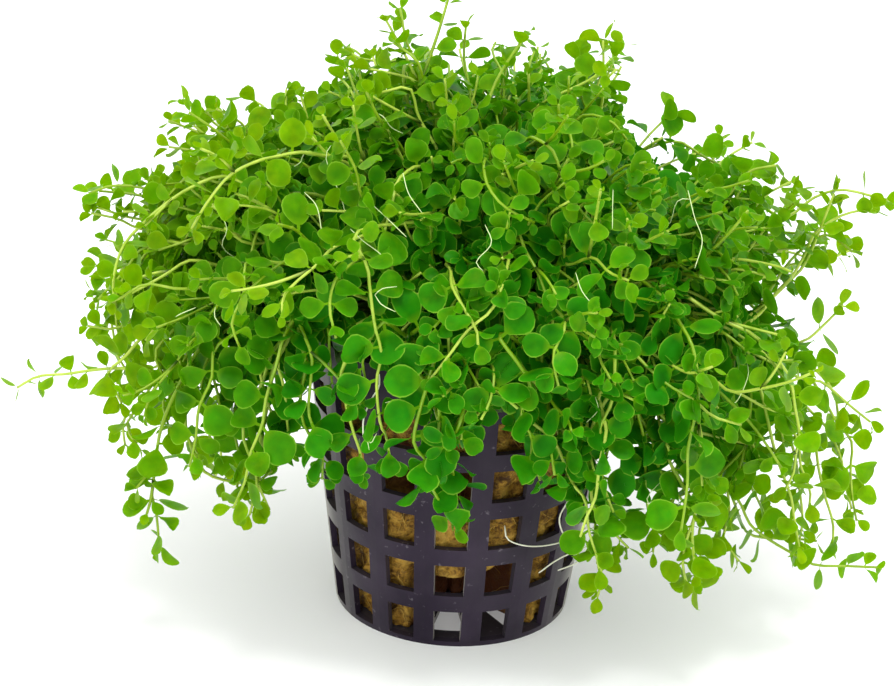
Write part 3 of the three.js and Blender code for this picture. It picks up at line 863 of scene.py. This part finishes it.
def wobble(path, amount):
    """Adds slow waves to a path that grow from its root to its tip."""
    count = len(path)
    grow = np.linspace(0, 1, count)[:, None] ** 0.8
    waves = np.zeros((count, 3))
    for turns in WOBBLE_TURNS:
        phase = rng.uniform(0, 2 * np.pi, 3)
        size = rng.normal(0, amount / turns**0.7, 3)
        waves += size * (np.sin(2 * np.pi * turns * grow + phase) - np.sin(phase))
    return path + waves * grow


def kinked(path):
    """Bends a path a little at every leaf pair."""
    knots = even_steps(path, NODE_STEP)
    knots[1:-1] += rng.normal(0, STEM_KINK, (len(knots) - 2, 3))
    return smooth_path(knots, STEM_STEP)


def stem_path(plan, reach):
    """One stem of a tuft, from the crown to its tip."""
    low, high = plan["low"], plan["high"]
    share = math.sqrt(rng.uniform(low**2, high**2))
    azimuth = plan["azimuth"] + rng.uniform(-1, 1) * plan["half_turn"]
    t = np.linspace(STEM_START, reach, STEM_POINTS)
    drift = t**1.5
    shares = np.clip(share + rng.normal(0, STEM_DRIFT) * drift, *STEM_SHARES)
    azimuths = azimuth + rng.normal(0, STEM_TURN) * drift * (1.2 - 0.6 * share)
    path = wobble(flow(shares, azimuths, t), STEM_WOBBLE)
    turn = unit(rng.normal(0, 1, 3) + np.array([0, 0, TIP_LIFT]))
    late = np.clip((t / reach - TIP_TURN_START) / TIP_TURN_SPAN, 0, 1)[:, None] ** 2
    path = path + turn * late * rng.uniform(*TIP_TURN)
    return kinked(clear_of_pot(path, STEM_ROOM))


def trailing_path(plan):
    """A stem that comes to the outside early and trails down over the others."""
    end = math.sqrt(rng.uniform(plan["low"] ** 2, plan["high"] ** 2))
    begin = max(0.05, end - rng.uniform(*TRAILING_LEAD))
    azimuth = plan["azimuth"] + rng.uniform(-1, 1) * plan["half_turn"]
    t = np.linspace(STEM_START, 1, TRAILING_POINTS)
    shares = begin + (end - begin) * t**1.6
    azimuths = azimuth + rng.normal(0, TRAILING_TURN) * t
    rise = (1 - (1 - t) ** 2.4) * rng.uniform(*TRAILING_RISE)
    path = wobble(flow(shares, azimuths, rise), TRAILING_WOBBLE)
    return kinked(clear_of_pot(path, STEM_ROOM))


def trimmed(path):
    """The part of a stem that stays in the mass, or nothing if it would hang in front of the mouth."""
    if in_gap(path).any():
        return None
    start = len(path) // 3
    lost = np.flatnonzero(~kept(path[start:]))
    return path[:max(3, start + lost[0])] if len(lost) else path


def outward(point):
    return unit(point - np.array([0, 0, MOP_CENTRE_Z + 2]))


def grow_leaves(leaves, path, leafy, scale, tone, spacing, free, tip_leaf=TIP_LEAF):
    """Opposite pairs of leaves along a stem from its tip, close together there and wider apart below."""
    steps = np.linalg.norm(np.diff(path, axis=0), axis=1)
    lengths = np.concatenate([[0], np.cumsum(steps)])
    back, pair = FIRST_PAIR, 0
    turn = rng.uniform(0, np.pi)
    nodes = []
    while back < min(leafy, lengths[-1] - BARE_FOOT):
        place = lengths[-1] - back
        node = np.array([np.interp(place, lengths, path[:, axis]) for axis in range(3)])
        index = min(len(path) - 2, int(np.searchsorted(lengths, place)) - 1)
        along = unit(path[index + 1] - path[index])
        aside = unit(np.cross(along, rng.normal(0, 0.12, 3) + np.array([0.2, 0.1, 1.0])))
        other = np.cross(along, aside)
        angle = turn + pair * np.pi / 2 + rng.normal(0, PAIR_TURN)
        young = max(0.0, 1 - back / YOUNG_LENGTH)
        size = LEAF_LENGTH * scale * (1 + (tip_leaf - 1) * young) * rng.uniform(*PAIR_SCALE)
        lean = LEAN + YOUNG_LEAN * young
        for sign in (-1, 1):
            growing = sign * (aside * math.cos(angle) + other * math.sin(angle)) + along * lean
            growing = growing + rng.normal(0, GROWING_SPREAD, 3)
            facing = outward(node) * FACE_OUT + np.array([0, 0, FACE_UP]) + along * FACE_ALONG
            facing = facing + rng.normal(0, FACING_SPREAD, 3)
            leaf_tone = np.clip(tone + rng.normal(0, LEAF_TONE_SPREAD), 0, 1)
            if rng.uniform() > MISSING_LEAVES:
                length = size * rng.uniform(*SINGLE_SCALE)
                leaves.add(node, growing, facing, length, young, leaf_tone, free)
        nodes.append((node, along, back))
        back += min(spacing, TIP_SPACING * TIP_SPACING_GROWTH**pair) * rng.uniform(*SPACING_VARIATION)
        pair += 1
    return nodes


def side_shoots(stems, leaves, nodes, chance, scale, tone, free):
    """Short shoots from the axils of older leaf pairs, which make the forks."""
    for node, along, back in nodes:
        if back < SHOOT_FROM_TIP or rng.uniform() > chance:
            continue
        stray = unit(rng.normal(0, 1, 3)) * SHOOT_STRAY
        direction = unit(along * SHOOT_ALONG + stray + outward(node) * SHOOT_OUT)
        length = rng.uniform(*SHOOT_LENGTH)
        bend = np.array([0, 0, rng.uniform(*SHOOT_BEND)])
        t = np.linspace(0, 1, SHOOT_POINTS)[:, None]
        path = clear_of_pot(node + direction * length * t + bend * length * t**2, SHOOT_ROOM)
        path[0] = node
        path = even_steps(path, STEM_STEP)
        if free or kept(path[-1:])[0]:
            add_stem(stems, path, STEM_RADIUS * SHOOT_THICKNESS, tone, INNER_STEM_SIDES)
            leafy = length - SHOOT_BARE_LENGTH
            grow_leaves(leaves, path, leafy, scale * SHOOT_LEAF_SCALE, tone, SHOOT_SPACING, free)


def add_stem(stems, path, radius, tone, sides):
    share = np.linspace(0, 1, len(path))
    radii = radius + (STEM_TIP_RADIUS - radius) * share**STEM_TAPER
    points, faces = tube(path, radii, sides)
    shares = np.concatenate([np.repeat(share, sides), [0, 1]])
    outer = outer_share(points)
    form = np.stack([shares, outer, shares], axis=1)
    stems.add(points, faces, form, (tone, tone, tone))


def grow_stem(stems, leaves, path, leafy, shoot_chance, free=False, sides=STEM_SIDES, habit=None):
    if path is None:
        return
    tone = float(np.clip(rng.normal(*STEM_TONE), 0, 1))
    spacing = rng.uniform(*(LOW_SPACING if path[-1, 2] < THIN_BELOW else SPACING))
    spacing, scale, tip_leaf = habit or (spacing, rng.uniform(*LEAF_SCALE), TIP_LEAF)
    add_stem(stems, path, STEM_RADIUS * rng.uniform(*STEM_THICKNESS), tone, sides)
    nodes = grow_leaves(leaves, path, leafy, scale, tone, spacing, free, tip_leaf)
    side_shoots(stems, leaves, nodes, shoot_chance, scale, tone, free)


def sprig_path(plan, way):
    root = [flow(plan["share"], plan["azimuth"], t) for t in SPRIG_ROOTS]
    return clear_of_pot(kinked(smooth_path([*root, *way], STEM_STEP)), SPRIG_ROOM)


def thin_chance(tip):
    """How likely a stem is left out, where the mass is looser: low down at the sides, and at the top."""
    if tip[2] > THIN_ABOVE:
        return THIN_CHANCE_TOP
    if tip[2] > THIN_BELOW:
        return 0.0
    return THIN_CHANCE_RIGHT if tip[0] > 0 else THIN_CHANCE_LEFT


def fill_tuft(plan, share, stems, leaves):
    """The stems of a tuft's own share of the mass: outer ones, inner ones and trailing ones."""
    for _ in range(int(round(STEMS * share))):
        path = stem_path(plan, rng.uniform(*STEM_REACH))
        if rng.uniform() > thin_chance(path[-1]):
            leafy = LEAFY_LENGTH * rng.uniform(*LEAFY_SHARE)
            grow_stem(stems, leaves, trimmed(path), leafy, SHOOT_CHANCE)
    for _ in range(int(round(INNER_STEMS * share))):
        path = trimmed(stem_path(plan, rng.uniform(*INNER_STEM_REACH)))
        leafy = LEAFY_LENGTH * INNER_LEAFY_SHARE
        grow_stem(stems, leaves, path, leafy, INNER_SHOOT_CHANCE, sides=INNER_STEM_SIDES)
    for _ in range(int(round(TRAILING_STEMS * share))):
        path = trimmed(trailing_path(plan))
        leafy = LEAFY_LENGTH * rng.uniform(*TRAILING_LEAFY_SHARE)
        grow_stem(stems, leaves, path, leafy, SHOOT_CHANCE)


def make_plant(leaf, stem):
    plans = tuft_plans()
    fine, plain = leaf_template(FINE_LEAF_ROWS), leaf_template(PLAIN_LEAF_ROWS)
    areas = [tuft_area(plan) for plan in plans]
    lone_stems = {**SPRIGS, **TWIGS}
    homes = {name: tuft_nearest(plans, way[0]) for name, way in lone_stems.items()}
    for plan, area in zip(plans, areas):
        stems, leaves = Parts(), Leaves()
        fill_tuft(plan, area / sum(areas), stems, leaves)
        for name, way in lone_stems.items():
            if homes[name] is plan:
                path, habit = sprig_path(plan, way), HABITS.get(name)
                grow_stem(stems, leaves, path, LONE_LEAFY_LENGTH, FREE_SHOOT_CHANCE, free=True, habit=habit)
        name = plan["name"]
        dress(mesh_object(name + "_stems", stems, stem), "stem", name)
        dress(mesh_object(name + "_leaves", leaves.parts(fine, plain), leaf), "leaf", name)


def thread_path():
    """A fine root that has grown out of a stem and lies over the leaves."""
    share, azimuth = rng.uniform(*THREAD_SHARES), rng.uniform(0, 2 * np.pi)
    start = flow(share, azimuth, rng.uniform(*THREAD_STARTS))
    heading = unit(rng.normal(0, 1, 3) + outward(start) * 0.2 - np.array([0, 0, 0.8]))
    bend, curl = rng.normal(0, THREAD_BEND, 3), rng.normal(0, THREAD_CURL, 3)
    t = np.linspace(0, 1, THREAD_POINTS)[:, None]
    length = rng.uniform(*THREAD_LENGTH)
    path = start + (heading * t + bend * t**2 + curl * np.sin(THREAD_CURLS * t)) * length
    return clear_of_pot(path, THREAD_ROOM)


def make_roots(root):
    parts = Parts()
    threads = [smooth_path(points, ROOT_STEP) for points in FRONT_THREADS]
    threads += [path for path in (thread_path() for _ in range(THREADS)) if kept(path).all()]
    kinds = [(smooth_path(points, ROOT_STEP), ROOT_RADIUS, 0.0) for points in ROOTS]
    kinds += [(path, THREAD_RADIUS, 1.0) for path in threads]
    for path, radius, green in kinds:
        radii = np.full(len(path), radius)
        radii[-1] = radii[0] = radius * ROOT_TIP
        parts.add(*tube(path, radii, ROOT_SIDES), (green, 0, 0))
    dress(mesh_object("white_roots", parts, root), "root")


# Net pot

def column_azimuth(column):
    return math.radians(FIRST_COLUMN_DEG) + 2 * math.pi * column / COLUMNS


def pot_lines():
    """Lines up the pot, as (azimuth of the column's middle, kind of line, side of the middle)."""
    lines = []
    for column in range(COLUMNS):
        middle = column_azimuth(column)
        slotted = column % (COLUMNS // FLOOR_SLOTS) == 0
        kinds = [("rib", -1)]
        kinds += [("slot", -1)] if slotted else []
        kinds += [("window", side) for side in (-1, -WINDOW_THIRD, WINDOW_THIRD, 1)]
        kinds += [("slot", 1)] if slotted else []
        lines += [(middle, kind, side) for kind, side in kinds]
    return lines


def line_azimuth(line, z):
    middle, kind, side = line
    half_pitch = math.pi / COLUMNS
    spans = {
        "rib": half_pitch,
        "slot": math.radians(SLOT_HALF_DEG),
        "window": half_pitch - RIB_WIDTH / 2 / float(pot_radius(z)),
    }
    return middle + side * spans[kind]


def pot_levels():
    """Rings of the pot from the middle of its floor to its rim, as (radius, height, kind of ring)."""
    levels = [(HUB_RADIUS, 0.0, "floor"), (SLOT_INNER, 0.0, "slot_start"), (SLOT_MIDDLE, 0.0, "slot")]
    levels += [(SLOT_OUTER, 0.0, "floor"), (POT_FOOT_RADIUS, 0.0, "wall")]
    for row in range(ROWS):
        middle = FIRST_ROW_Z + row * ROW_PITCH
        for z, kind in ((middle - WINDOW_HEIGHT / 2, "window"), (middle + WINDOW_HEIGHT / 2, "wall")):
            levels.append((float(pot_radius(z)), z, kind))
    levels.append((float(pot_radius(POT_HEIGHT - RIM_RING)), POT_HEIGHT - RIM_RING, "wall"))
    levels.append((POT_TOP_RADIUS, POT_HEIGHT, "rim"))
    return levels


def make_net_pot(plastic):
    lines, levels = pot_lines(), pot_levels()
    points = [
        (radius * math.cos(azimuth), radius * math.sin(azimuth), z)
        for radius, z, _ in levels
        for azimuth in (line_azimuth(line, z) for line in lines)
    ]
    columns = len(lines)
    faces = []
    for level, (_, _, kind) in enumerate(levels[:-1]):
        for column in range(columns):
            here, after = lines[column], lines[(column + 1) % columns]
            in_window = here[1] == "window" and after[1] == "window" and here[0] == after[0]
            slotted = any(abs(here[0] - column_azimuth(2 * i)) < 1e-6 for i in range(FLOOR_SLOTS))
            in_slot = slotted and here[1] in ("slot", "window") and not (here[1] == "slot" and here[2] == 1)
            if kind == "window" and in_window or kind in ("slot", "slot_start") and in_slot:
                continue
            low, high = level * columns, (level + 1) * columns
            right = (column + 1) % columns
            faces.append((low + column, low + right, high + right, high + column))
    middle = len(points)
    points.append((0.0, 0.0, 0.0))
    parts = Parts()
    hub = np.array([(middle, (column + 1) % columns, column) for column in range(columns)])
    parts.add(np.array(points), [np.array(faces), hub])
    pot = mesh_object("net_pot_basket", parts, plastic)
    shell = pot.modifiers.new("wall", "SOLIDIFY")
    shell.thickness = WALL * MM
    shell.offset = -1
    shell.use_even_offset = True
    edges = pot.modifiers.new("edges", "BEVEL")
    edges.width = POT_EDGE * MM
    edges.segments = 2
    edges.limit_method = "ANGLE"
    edges.angle_limit = math.radians(POT_EDGE_DEG)
    pot.modifiers.new("shading", "WEIGHTED_NORMAL").keep_sharp = True
    dress(pot, "pot_plastic", "net_pot")


# Mineral wool

def ripple(points, scale, seed):
    """A smooth pattern between -1 and 1 with lumps of about the given size."""
    source = np.random.RandomState(seed)
    total = np.zeros(len(points))
    for _ in range(LUMP_WAVES):
        turn = unit(source.normal(0, 1, 3)) * 2 * np.pi
        direction = turn / (scale * source.uniform(*LUMP_WAVE_SPREAD))
        total += np.sin(points @ direction + source.uniform(0, 2 * np.pi))
    return total / 4


def hollow_share(place, azimuth, z):
    """How far a hollow has gone at a place on the plug's side, from 0 to 1."""
    off = (azimuth - math.radians(place["deg"]) + np.pi) % (2 * np.pi) - np.pi
    across = np.clip((math.radians(place["half_deg"]) - np.abs(off)) / HOLLOW_SIDE_BLUR, 0, 1)
    below = np.clip((place["high"] + HOLLOW_WAVE * np.sin(HOLLOW_WAVES * azimuth) - z) / HOLLOW_BLUR, 0, 1)
    above = np.clip((z - place["low"]) / HOLLOW_BLUR, 0, 1)
    return across * below * above


def wool_hollow(azimuth, z):
    return sum(hollow_share(place, azimuth, z) for place in HOLLOWS)


def wool_points(azimuth, z):
    depth = sum(place["depth"] * hollow_share(place, azimuth, z) for place in HOLLOWS)
    radius = (pot_radius(z) - WALL - GAP) * (1 - depth)
    points = np.stack([radius * np.cos(azimuth), radius * np.sin(azimuth), z], axis=-1).reshape(-1, 3)
    lumps = sum(ripple(points, lump["size"], lump["seed"]) * lump["weight"] for lump in WOOL_LUMPS)
    sink = np.clip(WOOL_SINK - lumps, 0, None)
    out = np.linalg.norm(points[:, :2], axis=1)
    points[:, :2] *= ((out - np.minimum(sink, 0.5 * out)) / np.maximum(out, 1e-6))[:, None]
    return points


def make_wool(wool):
    azimuths = 2 * np.pi * np.arange(WOOL_AROUND) / WOOL_AROUND
    shoulder = WOOL_TOP - WOOL_SHOULDER
    heights = np.linspace(WOOL_BOTTOM, shoulder, WOOL_UP)
    azimuth, z = np.meshgrid(azimuths, heights)
    side = wool_points(azimuth, z)
    hollow = wool_hollow(azimuth, z).ravel()
    caps = []
    for share, lift in WOOL_TOP_RINGS:
        ring = side[-WOOL_AROUND:].copy()
        ring[:, :2] *= share
        ring[:, 2] = shoulder + lift - 0.5 * np.abs(ripple(ring, 4.0, 8))
        caps.append(ring)
    foot = []
    for share in WOOL_FOOT_RINGS:
        ring = side[:WOOL_AROUND].copy()
        ring[:, :2] *= share
        ring[:, 2] = WOOL_BOTTOM + WOOL_FOOT_LIFT * (1 - share)
        foot.append(ring)
    points = np.concatenate([*foot, side, *caps])
    rows = len(points) // WOOL_AROUND
    tint = np.zeros((len(points), 3))
    # Painted shade: dark brown in the hollows and on the plug's underside
    tint[len(foot) * WOOL_AROUND:][:len(hollow), 0] = np.minimum(3 * hollow, 1)
    tint[:len(foot) * WOOL_AROUND, 0] = 1.0
    parts = Parts()
    parts.add(points, [grid_faces(rows, WOOL_AROUND, wrap=True)], tint)
    dress(mesh_object("mineral_wool_plug", parts, wool), "wool", "mineral_wool")
    make_wool_fibres(wool)


def make_wool_fibres(wool):
    """Loose fibres that lie on the plug, mostly up and down."""
    parts = Parts()
    for _ in range(WOOL_FIBRES):
        azimuth, z = rng.uniform(0, 2 * np.pi), rng.uniform(WOOL_BOTTOM + 1, WOOL_TOP - 3)
        length = rng.uniform(*FIBRE_LENGTH)
        heading = rng.normal(0, FIBRE_TURN)
        t = np.linspace(-0.5, 0.5, FIBRE_POINTS)
        bend = rng.normal(0, FIBRE_BEND)
        across = length * t * math.sin(heading) + bend * t**2 * length
        heights = np.clip(z + length * t * math.cos(heading), WOOL_BOTTOM + 0.5, WOOL_TOP - WOOL_SHOULDER)
        path = wool_points(azimuth + across / WOOL_MEAN_RADIUS, heights)
        out = np.linalg.norm(path[:, :2], axis=1)
        path[:, :2] *= ((out + rng.uniform(*FIBRE_LIFT)) / out)[:, None]
        radii = np.full(FIBRE_POINTS, rng.uniform(*FIBRE_RADIUS))
        # Fibres in a hollow take its painted shade
        parts.add(*tube(path, radii, 3), (wool_hollow(azimuth, z), 1.0, 0.0))
    dress(mesh_object("mineral_wool_fibres", parts, wool), "wool", "mineral_wool")


# Materials

def new_material(name):
    material = bpy.data.materials.new(name)
    material.use_nodes = True
    tree = material.node_tree
    return material, tree, tree.nodes["Principled BSDF"]


def feed(tree, socket, value):
    """Gives a socket its value, which is another node's output or plain."""
    if isinstance(value, bpy.types.NodeSocket):
        tree.links.new(value, socket)
    else:
        socket.default_value = value


def add_node(tree, kind, **values):
    """A node whose sockets and settings are set by name, with spaces written as underscores."""
    made = tree.nodes.new("ShaderNode" + kind)
    for key, value in values.items():
        socket = made.inputs.get(key.replace("_", " "))
        if socket is not None and hasattr(socket, "default_value"):
            socket.default_value = value
        else:
            setattr(made, key, value)
    return made


def mix_colour(tree, factor, first, second, blend="MIX"):
    """Mixes two colours, each a node's output or a plain colour, by a node's output or a number."""
    made = tree.nodes.new("ShaderNodeMix")
    made.data_type = "RGBA"
    made.blend_type = blend
    for number, value in ((0, factor), (6, first), (7, second)):
        feed(tree, made.inputs[number], (*value, 1.0) if isinstance(value, tuple) else value)
    return made.outputs[2]


def noise(tree, scale, detail=3.0, roughness=0.55, distortion=0.0):
    place = tree.nodes.new("ShaderNodeTexCoord")
    made = add_node(tree, "TexNoise", Scale=scale, Detail=detail, Roughness=roughness,
                    Distortion=distortion)
    tree.links.new(place.outputs["Object"], made.inputs["Vector"])
    return made.outputs["Fac"]


def ramp(tree, factor, low, high, start=0.0, end=1.0):
    made = add_node(tree, "MapRange", clamp=True)
    for socket, value in zip(made.inputs[1:5], (low, high, start, end)):
        socket.default_value = value
    tree.links.new(factor, made.inputs["Value"])
    return made.outputs["Result"]


def math_node(tree, operation, first, second):
    made = tree.nodes.new("ShaderNodeMath")
    made.operation = operation
    feed(tree, made.inputs[0], first)
    feed(tree, made.inputs[1], second)
    return made.outputs[0]


def channels(tree, label):
    source = add_node(tree, "Attribute", attribute_name=label)
    split = tree.nodes.new("ShaderNodeSeparateColor")
    tree.links.new(source.outputs["Color"], split.inputs[0])
    return split.outputs[:3]


def bump(tree, principled, height, strength, distance):
    made = add_node(tree, "Bump", Strength=strength, Distance=distance)
    tree.links.new(height, made.inputs["Height"])
    tree.links.new(made.outputs["Normal"], principled.inputs["Normal"])


def surface(tree, principled, colour, **values):
    """Sets a surface's colour, and its other inputs by name, with spaces written as underscores."""
    feed(tree, principled.inputs["Base Color"], colour)
    for key, value in values.items():
        feed(tree, principled.inputs[key.replace("_", " ")], value)


def add_translucency(tree, principled, colour, share):
    """Light that comes through a thin sheet, mixed with the light that its surface reflects."""
    through = tree.nodes.new("ShaderNodeBsdfTranslucent")
    tree.links.new(colour, through.inputs["Color"])
    both = add_node(tree, "MixShader")
    feed(tree, both.inputs[0], share)
    tree.links.new(principled.outputs[0], both.inputs[1])
    tree.links.new(through.outputs[0], both.inputs[2])
    tree.links.new(both.outputs[0], tree.nodes["Material Output"].inputs["Surface"])


def leaf_green(tree, shade, outer):
    """The green of a leaf by its shade, from dark to light, and by how far out on the plant it is: lighter
    at the edges, partly as painted light.
    """
    greens = []
    for dark, middle, light in (LEAF_GREENS["over the pot"], LEAF_GREENS["at the edges"]):
        green = mix_colour(tree, ramp(tree, shade, 0.15, 0.65), dark, middle)
        greens.append(mix_colour(tree, ramp(tree, shade, 0.6, 1.1), green, light))
    return mix_colour(tree, outer, *greens)


def leaf_material():
    """Deep green over the pot, yellower and lighter towards the plant's edges, partly as painted light,
    with pale stalks, painted light towards each leaf's edge and tip, a thin painted highlight on the rim,
    and painted light and shade in soft patches.
    """
    material, tree, principled = new_material("leaf_satin_green")
    edge, petiole, along = channels(tree, "form")
    tone, young, outer = channels(tree, "kind")
    mottle = ramp(tree, noise(tree, 600.0, 4.0, 0.65), 0.3, 0.7, -0.24, 0.24)
    # Soft patches that make the colour darker or lighter: painted light and shade, as on curved leaves
    cloud = ramp(tree, noise(tree, 330.0, 2.0), 0.32, 0.68, 0.72, 1.22)
    shade = math_node(tree, "ADD", tone, mottle)
    shade = math_node(tree, "ADD", shade, math_node(tree, "MULTIPLY", young, 0.22))
    colour = mix_colour(tree, 1.0, leaf_green(tree, shade, outer), cloud, "MULTIPLY")
    colour = mix_colour(tree, math_node(tree, "MULTIPLY", petiole, 0.7), colour, STALK_GREEN)
    # Paler towards each leaf's edge and tip: painted light, as cupped leaves catch it there
    near_edge, near_tip = ramp(tree, edge, 0.3, 1.0, 0.0, 0.3), ramp(tree, along, 0.7, 1.0, 0.0, 0.25)
    pale = math_node(tree, "MAXIMUM", near_edge, near_tip)
    colour = mix_colour(tree, pale, colour, mix_colour(tree, outer, *LEAF_PALE_GREENS))
    # Painted highlight along the leaf's rim
    colour = mix_colour(tree, ramp(tree, edge, LEAF_RIM_HIGHLIGHT_START, 0.98, 0.0, 0.6), colour, LEAF_RIM_HIGHLIGHT)
    colour = mix_colour(tree, ramp(tree, shade, 1.45, 1.6), colour, LEAF_OLD_SPOT)
    surface(tree, principled, colour, Roughness=0.33, Specular_IOR_Level=0.07,
            Specular_Tint=(0.95, 1.0, 0.5, 1.0))
    bump(tree, principled, noise(tree, 1500.0, 2.0), 0.16, 0.0001)
    light = mix_colour(tree, 0.5, colour, mix_colour(tree, outer, *LEAF_LIGHT_THROUGH))
    add_translucency(tree, principled, light, ramp(tree, outer, 0.0, 1.0, 0.3, 0.45))
    return material


def stem_material():
    material, tree, principled = new_material("stem_pale_green")
    along, outer, _ = channels(tree, "form")
    tone, _, _ = channels(tree, "kind")
    mottle = ramp(tree, noise(tree, 300.0), 0.3, 0.7, -0.12, 0.12)
    pale = ramp(tree, math_node(tree, "ADD", tone, mottle), 0.4, 0.66)
    colour = mix_colour(tree, pale, mix_colour(tree, outer, *STEM_GREENS), STEM_PALE)
    # Painted shade: the stems darken towards their feet, deep in the mass
    colour = mix_colour(tree, ramp(tree, along, 0.05, 0.3, 0.95, 0.0), colour, STEM_FOOT_SHADE)
    surface(tree, principled, colour, Roughness=0.33, Specular_IOR_Level=0.45)
    add_translucency(tree, principled, colour, 0.15)
    return material


def root_material():
    material, tree, principled = new_material("root_white")
    colour = mix_colour(tree, noise(tree, 500.0), *ROOT_WHITES)
    colour = mix_colour(tree, channels(tree, "form")[0], colour, THREAD_GREEN)
    surface(tree, principled, colour, Roughness=0.45)
    return material


def pot_material():
    """Dark plastic with specks of dust and a thin dried film."""
    material, tree, principled = new_material("pot_dark_plastic")
    colour = mix_colour(tree, ramp(tree, noise(tree, 90.0, 4.0), 0.35, 0.7), *POT_DARKS)
    dust = math_node(tree, "MULTIPLY", ramp(tree, noise(tree, 900.0, 2.0), 0.66, 0.76), 0.35)
    film = ramp(tree, noise(tree, 60.0, 5.0), 0.45, 0.7, 0.0, 0.05)
    colour = mix_colour(tree, math_node(tree, "MAXIMUM", dust, film), colour, POT_DUST)
    gloss = ramp(tree, noise(tree, 150.0, 4.0), 0.3, 0.7, 0.3, 0.48)
    surface(tree, principled, colour, Roughness=gloss, Specular_IOR_Level=0.23,
            Specular_Tint=(0.88, 0.74, 0.95, 1.0), Sheen_Weight=0.6, Sheen_Roughness=0.3,
            Sheen_Tint=(1.0, 0.95, 0.85, 1.0))
    bump(tree, principled, noise(tree, 700.0, 3.0), 0.15, 0.0001)
    return material


def wool_material():
    """Wet fibres in ambers, with painted shade in dark clefts, and dark brown painted shade in the hollows
    and under the plug.
    """
    material, tree, principled = new_material("wool_wet_amber")
    hollow, loose, _ = channels(tree, "form")
    fibre = noise(tree, 1100.0, 5.0, 0.7, 0.8)
    cloud = noise(tree, 330.0, 4.0, 0.62)
    colour = mix_colour(tree, ramp(tree, fibre, 0.4, 0.6), *WOOL_AMBERS)
    colour = mix_colour(tree, ramp(tree, cloud, 0.48, 0.66, 0.0, 0.85), colour, WOOL_LIGHT)
    # Painted shade in dark clefts
    colour = mix_colour(tree, ramp(tree, cloud, 0.44, 0.34, 0.0, 0.85), colour, WOOL_CLEFT_SHADE)
    colour = mix_colour(tree, math_node(tree, "MULTIPLY", loose, 0.5), colour, WOOL_LOOSE)
    # Painted shade in the hollows and on the plug's underside
    colour = mix_colour(tree, math_node(tree, "MULTIPLY", hollow, 0.93), colour, WOOL_HOLLOW_SHADE)
    gloss = ramp(tree, fibre, 0.3, 0.7, 0.35, 0.75)
    surface(tree, principled, colour, Roughness=gloss, Specular_IOR_Level=0.2)
    bump(tree, principled, fibre, 0.8, 0.0005)
    return material


def floor_material():
    material, tree, principled = new_material("floor_white")
    colour = mix_colour(tree, noise(tree, 3.0), *FLOOR_WHITES)
    surface(tree, principled, colour, Roughness=0.9, Specular_IOR_Level=0.1,
            Emission_Color=(1, 1, 1, 1), Emission_Strength=FLOOR_GLOW)
    return material


# Camera, floor and light

def make_camera():
    right, up, away = camera_axes()
    place = (np.array(CAMERA_TARGET) + CAMERA_DISTANCE * away) * MM
    data = bpy.data.cameras.new("camera")
    data.lens = CAMERA_LENS
    data.sensor_width = CAMERA_SENSOR
    data.clip_start = 0.01
    camera = add_object("camera", data)
    turn = Matrix((right, up, away)).transposed().to_4x4()
    camera.matrix_world = Matrix.Translation(place) @ turn
    bpy.context.scene.camera = camera


def soft_sun(name, towards, strength, spread_deg):
    """A distant light whose rays come from the given direction, with soft-edged shadows."""
    data = bpy.data.lights.new(name, "SUN")
    data.energy = strength
    data.angle = math.radians(spread_deg)
    light = add_object(name, data)
    light.matrix_world = Vector(towards).to_track_quat("Z", "Y").to_matrix().to_4x4()


def make_stage():
    scene = bpy.context.scene
    scene.view_settings.view_transform = "Standard"
    world = bpy.data.worlds.new("studio")
    world.use_nodes = True
    background = world.node_tree.nodes["Background"]
    background.inputs["Color"].default_value = (1, 1, 1, 1)
    background.inputs["Strength"].default_value = WORLD_LIGHT
    scene.world = world
    soft_sun("key", **KEY_LIGHT)
    soft_sun("fill", **FILL_LIGHT)
    parts = Parts()
    half = FLOOR_HALF_WIDTH
    corners = np.array([(-half, -half, 0), (half, -half, 0), (half, half, 0), (-half, half, 0)])
    parts.add(corners, [np.array([[0, 1, 2, 3]])])
    mesh_object("floor", parts, floor_material())


make_camera()
make_stage()
make_net_pot(pot_material())
make_wool(wool_material())
make_plant(leaf_material(), stem_material())
make_roots(root_material())
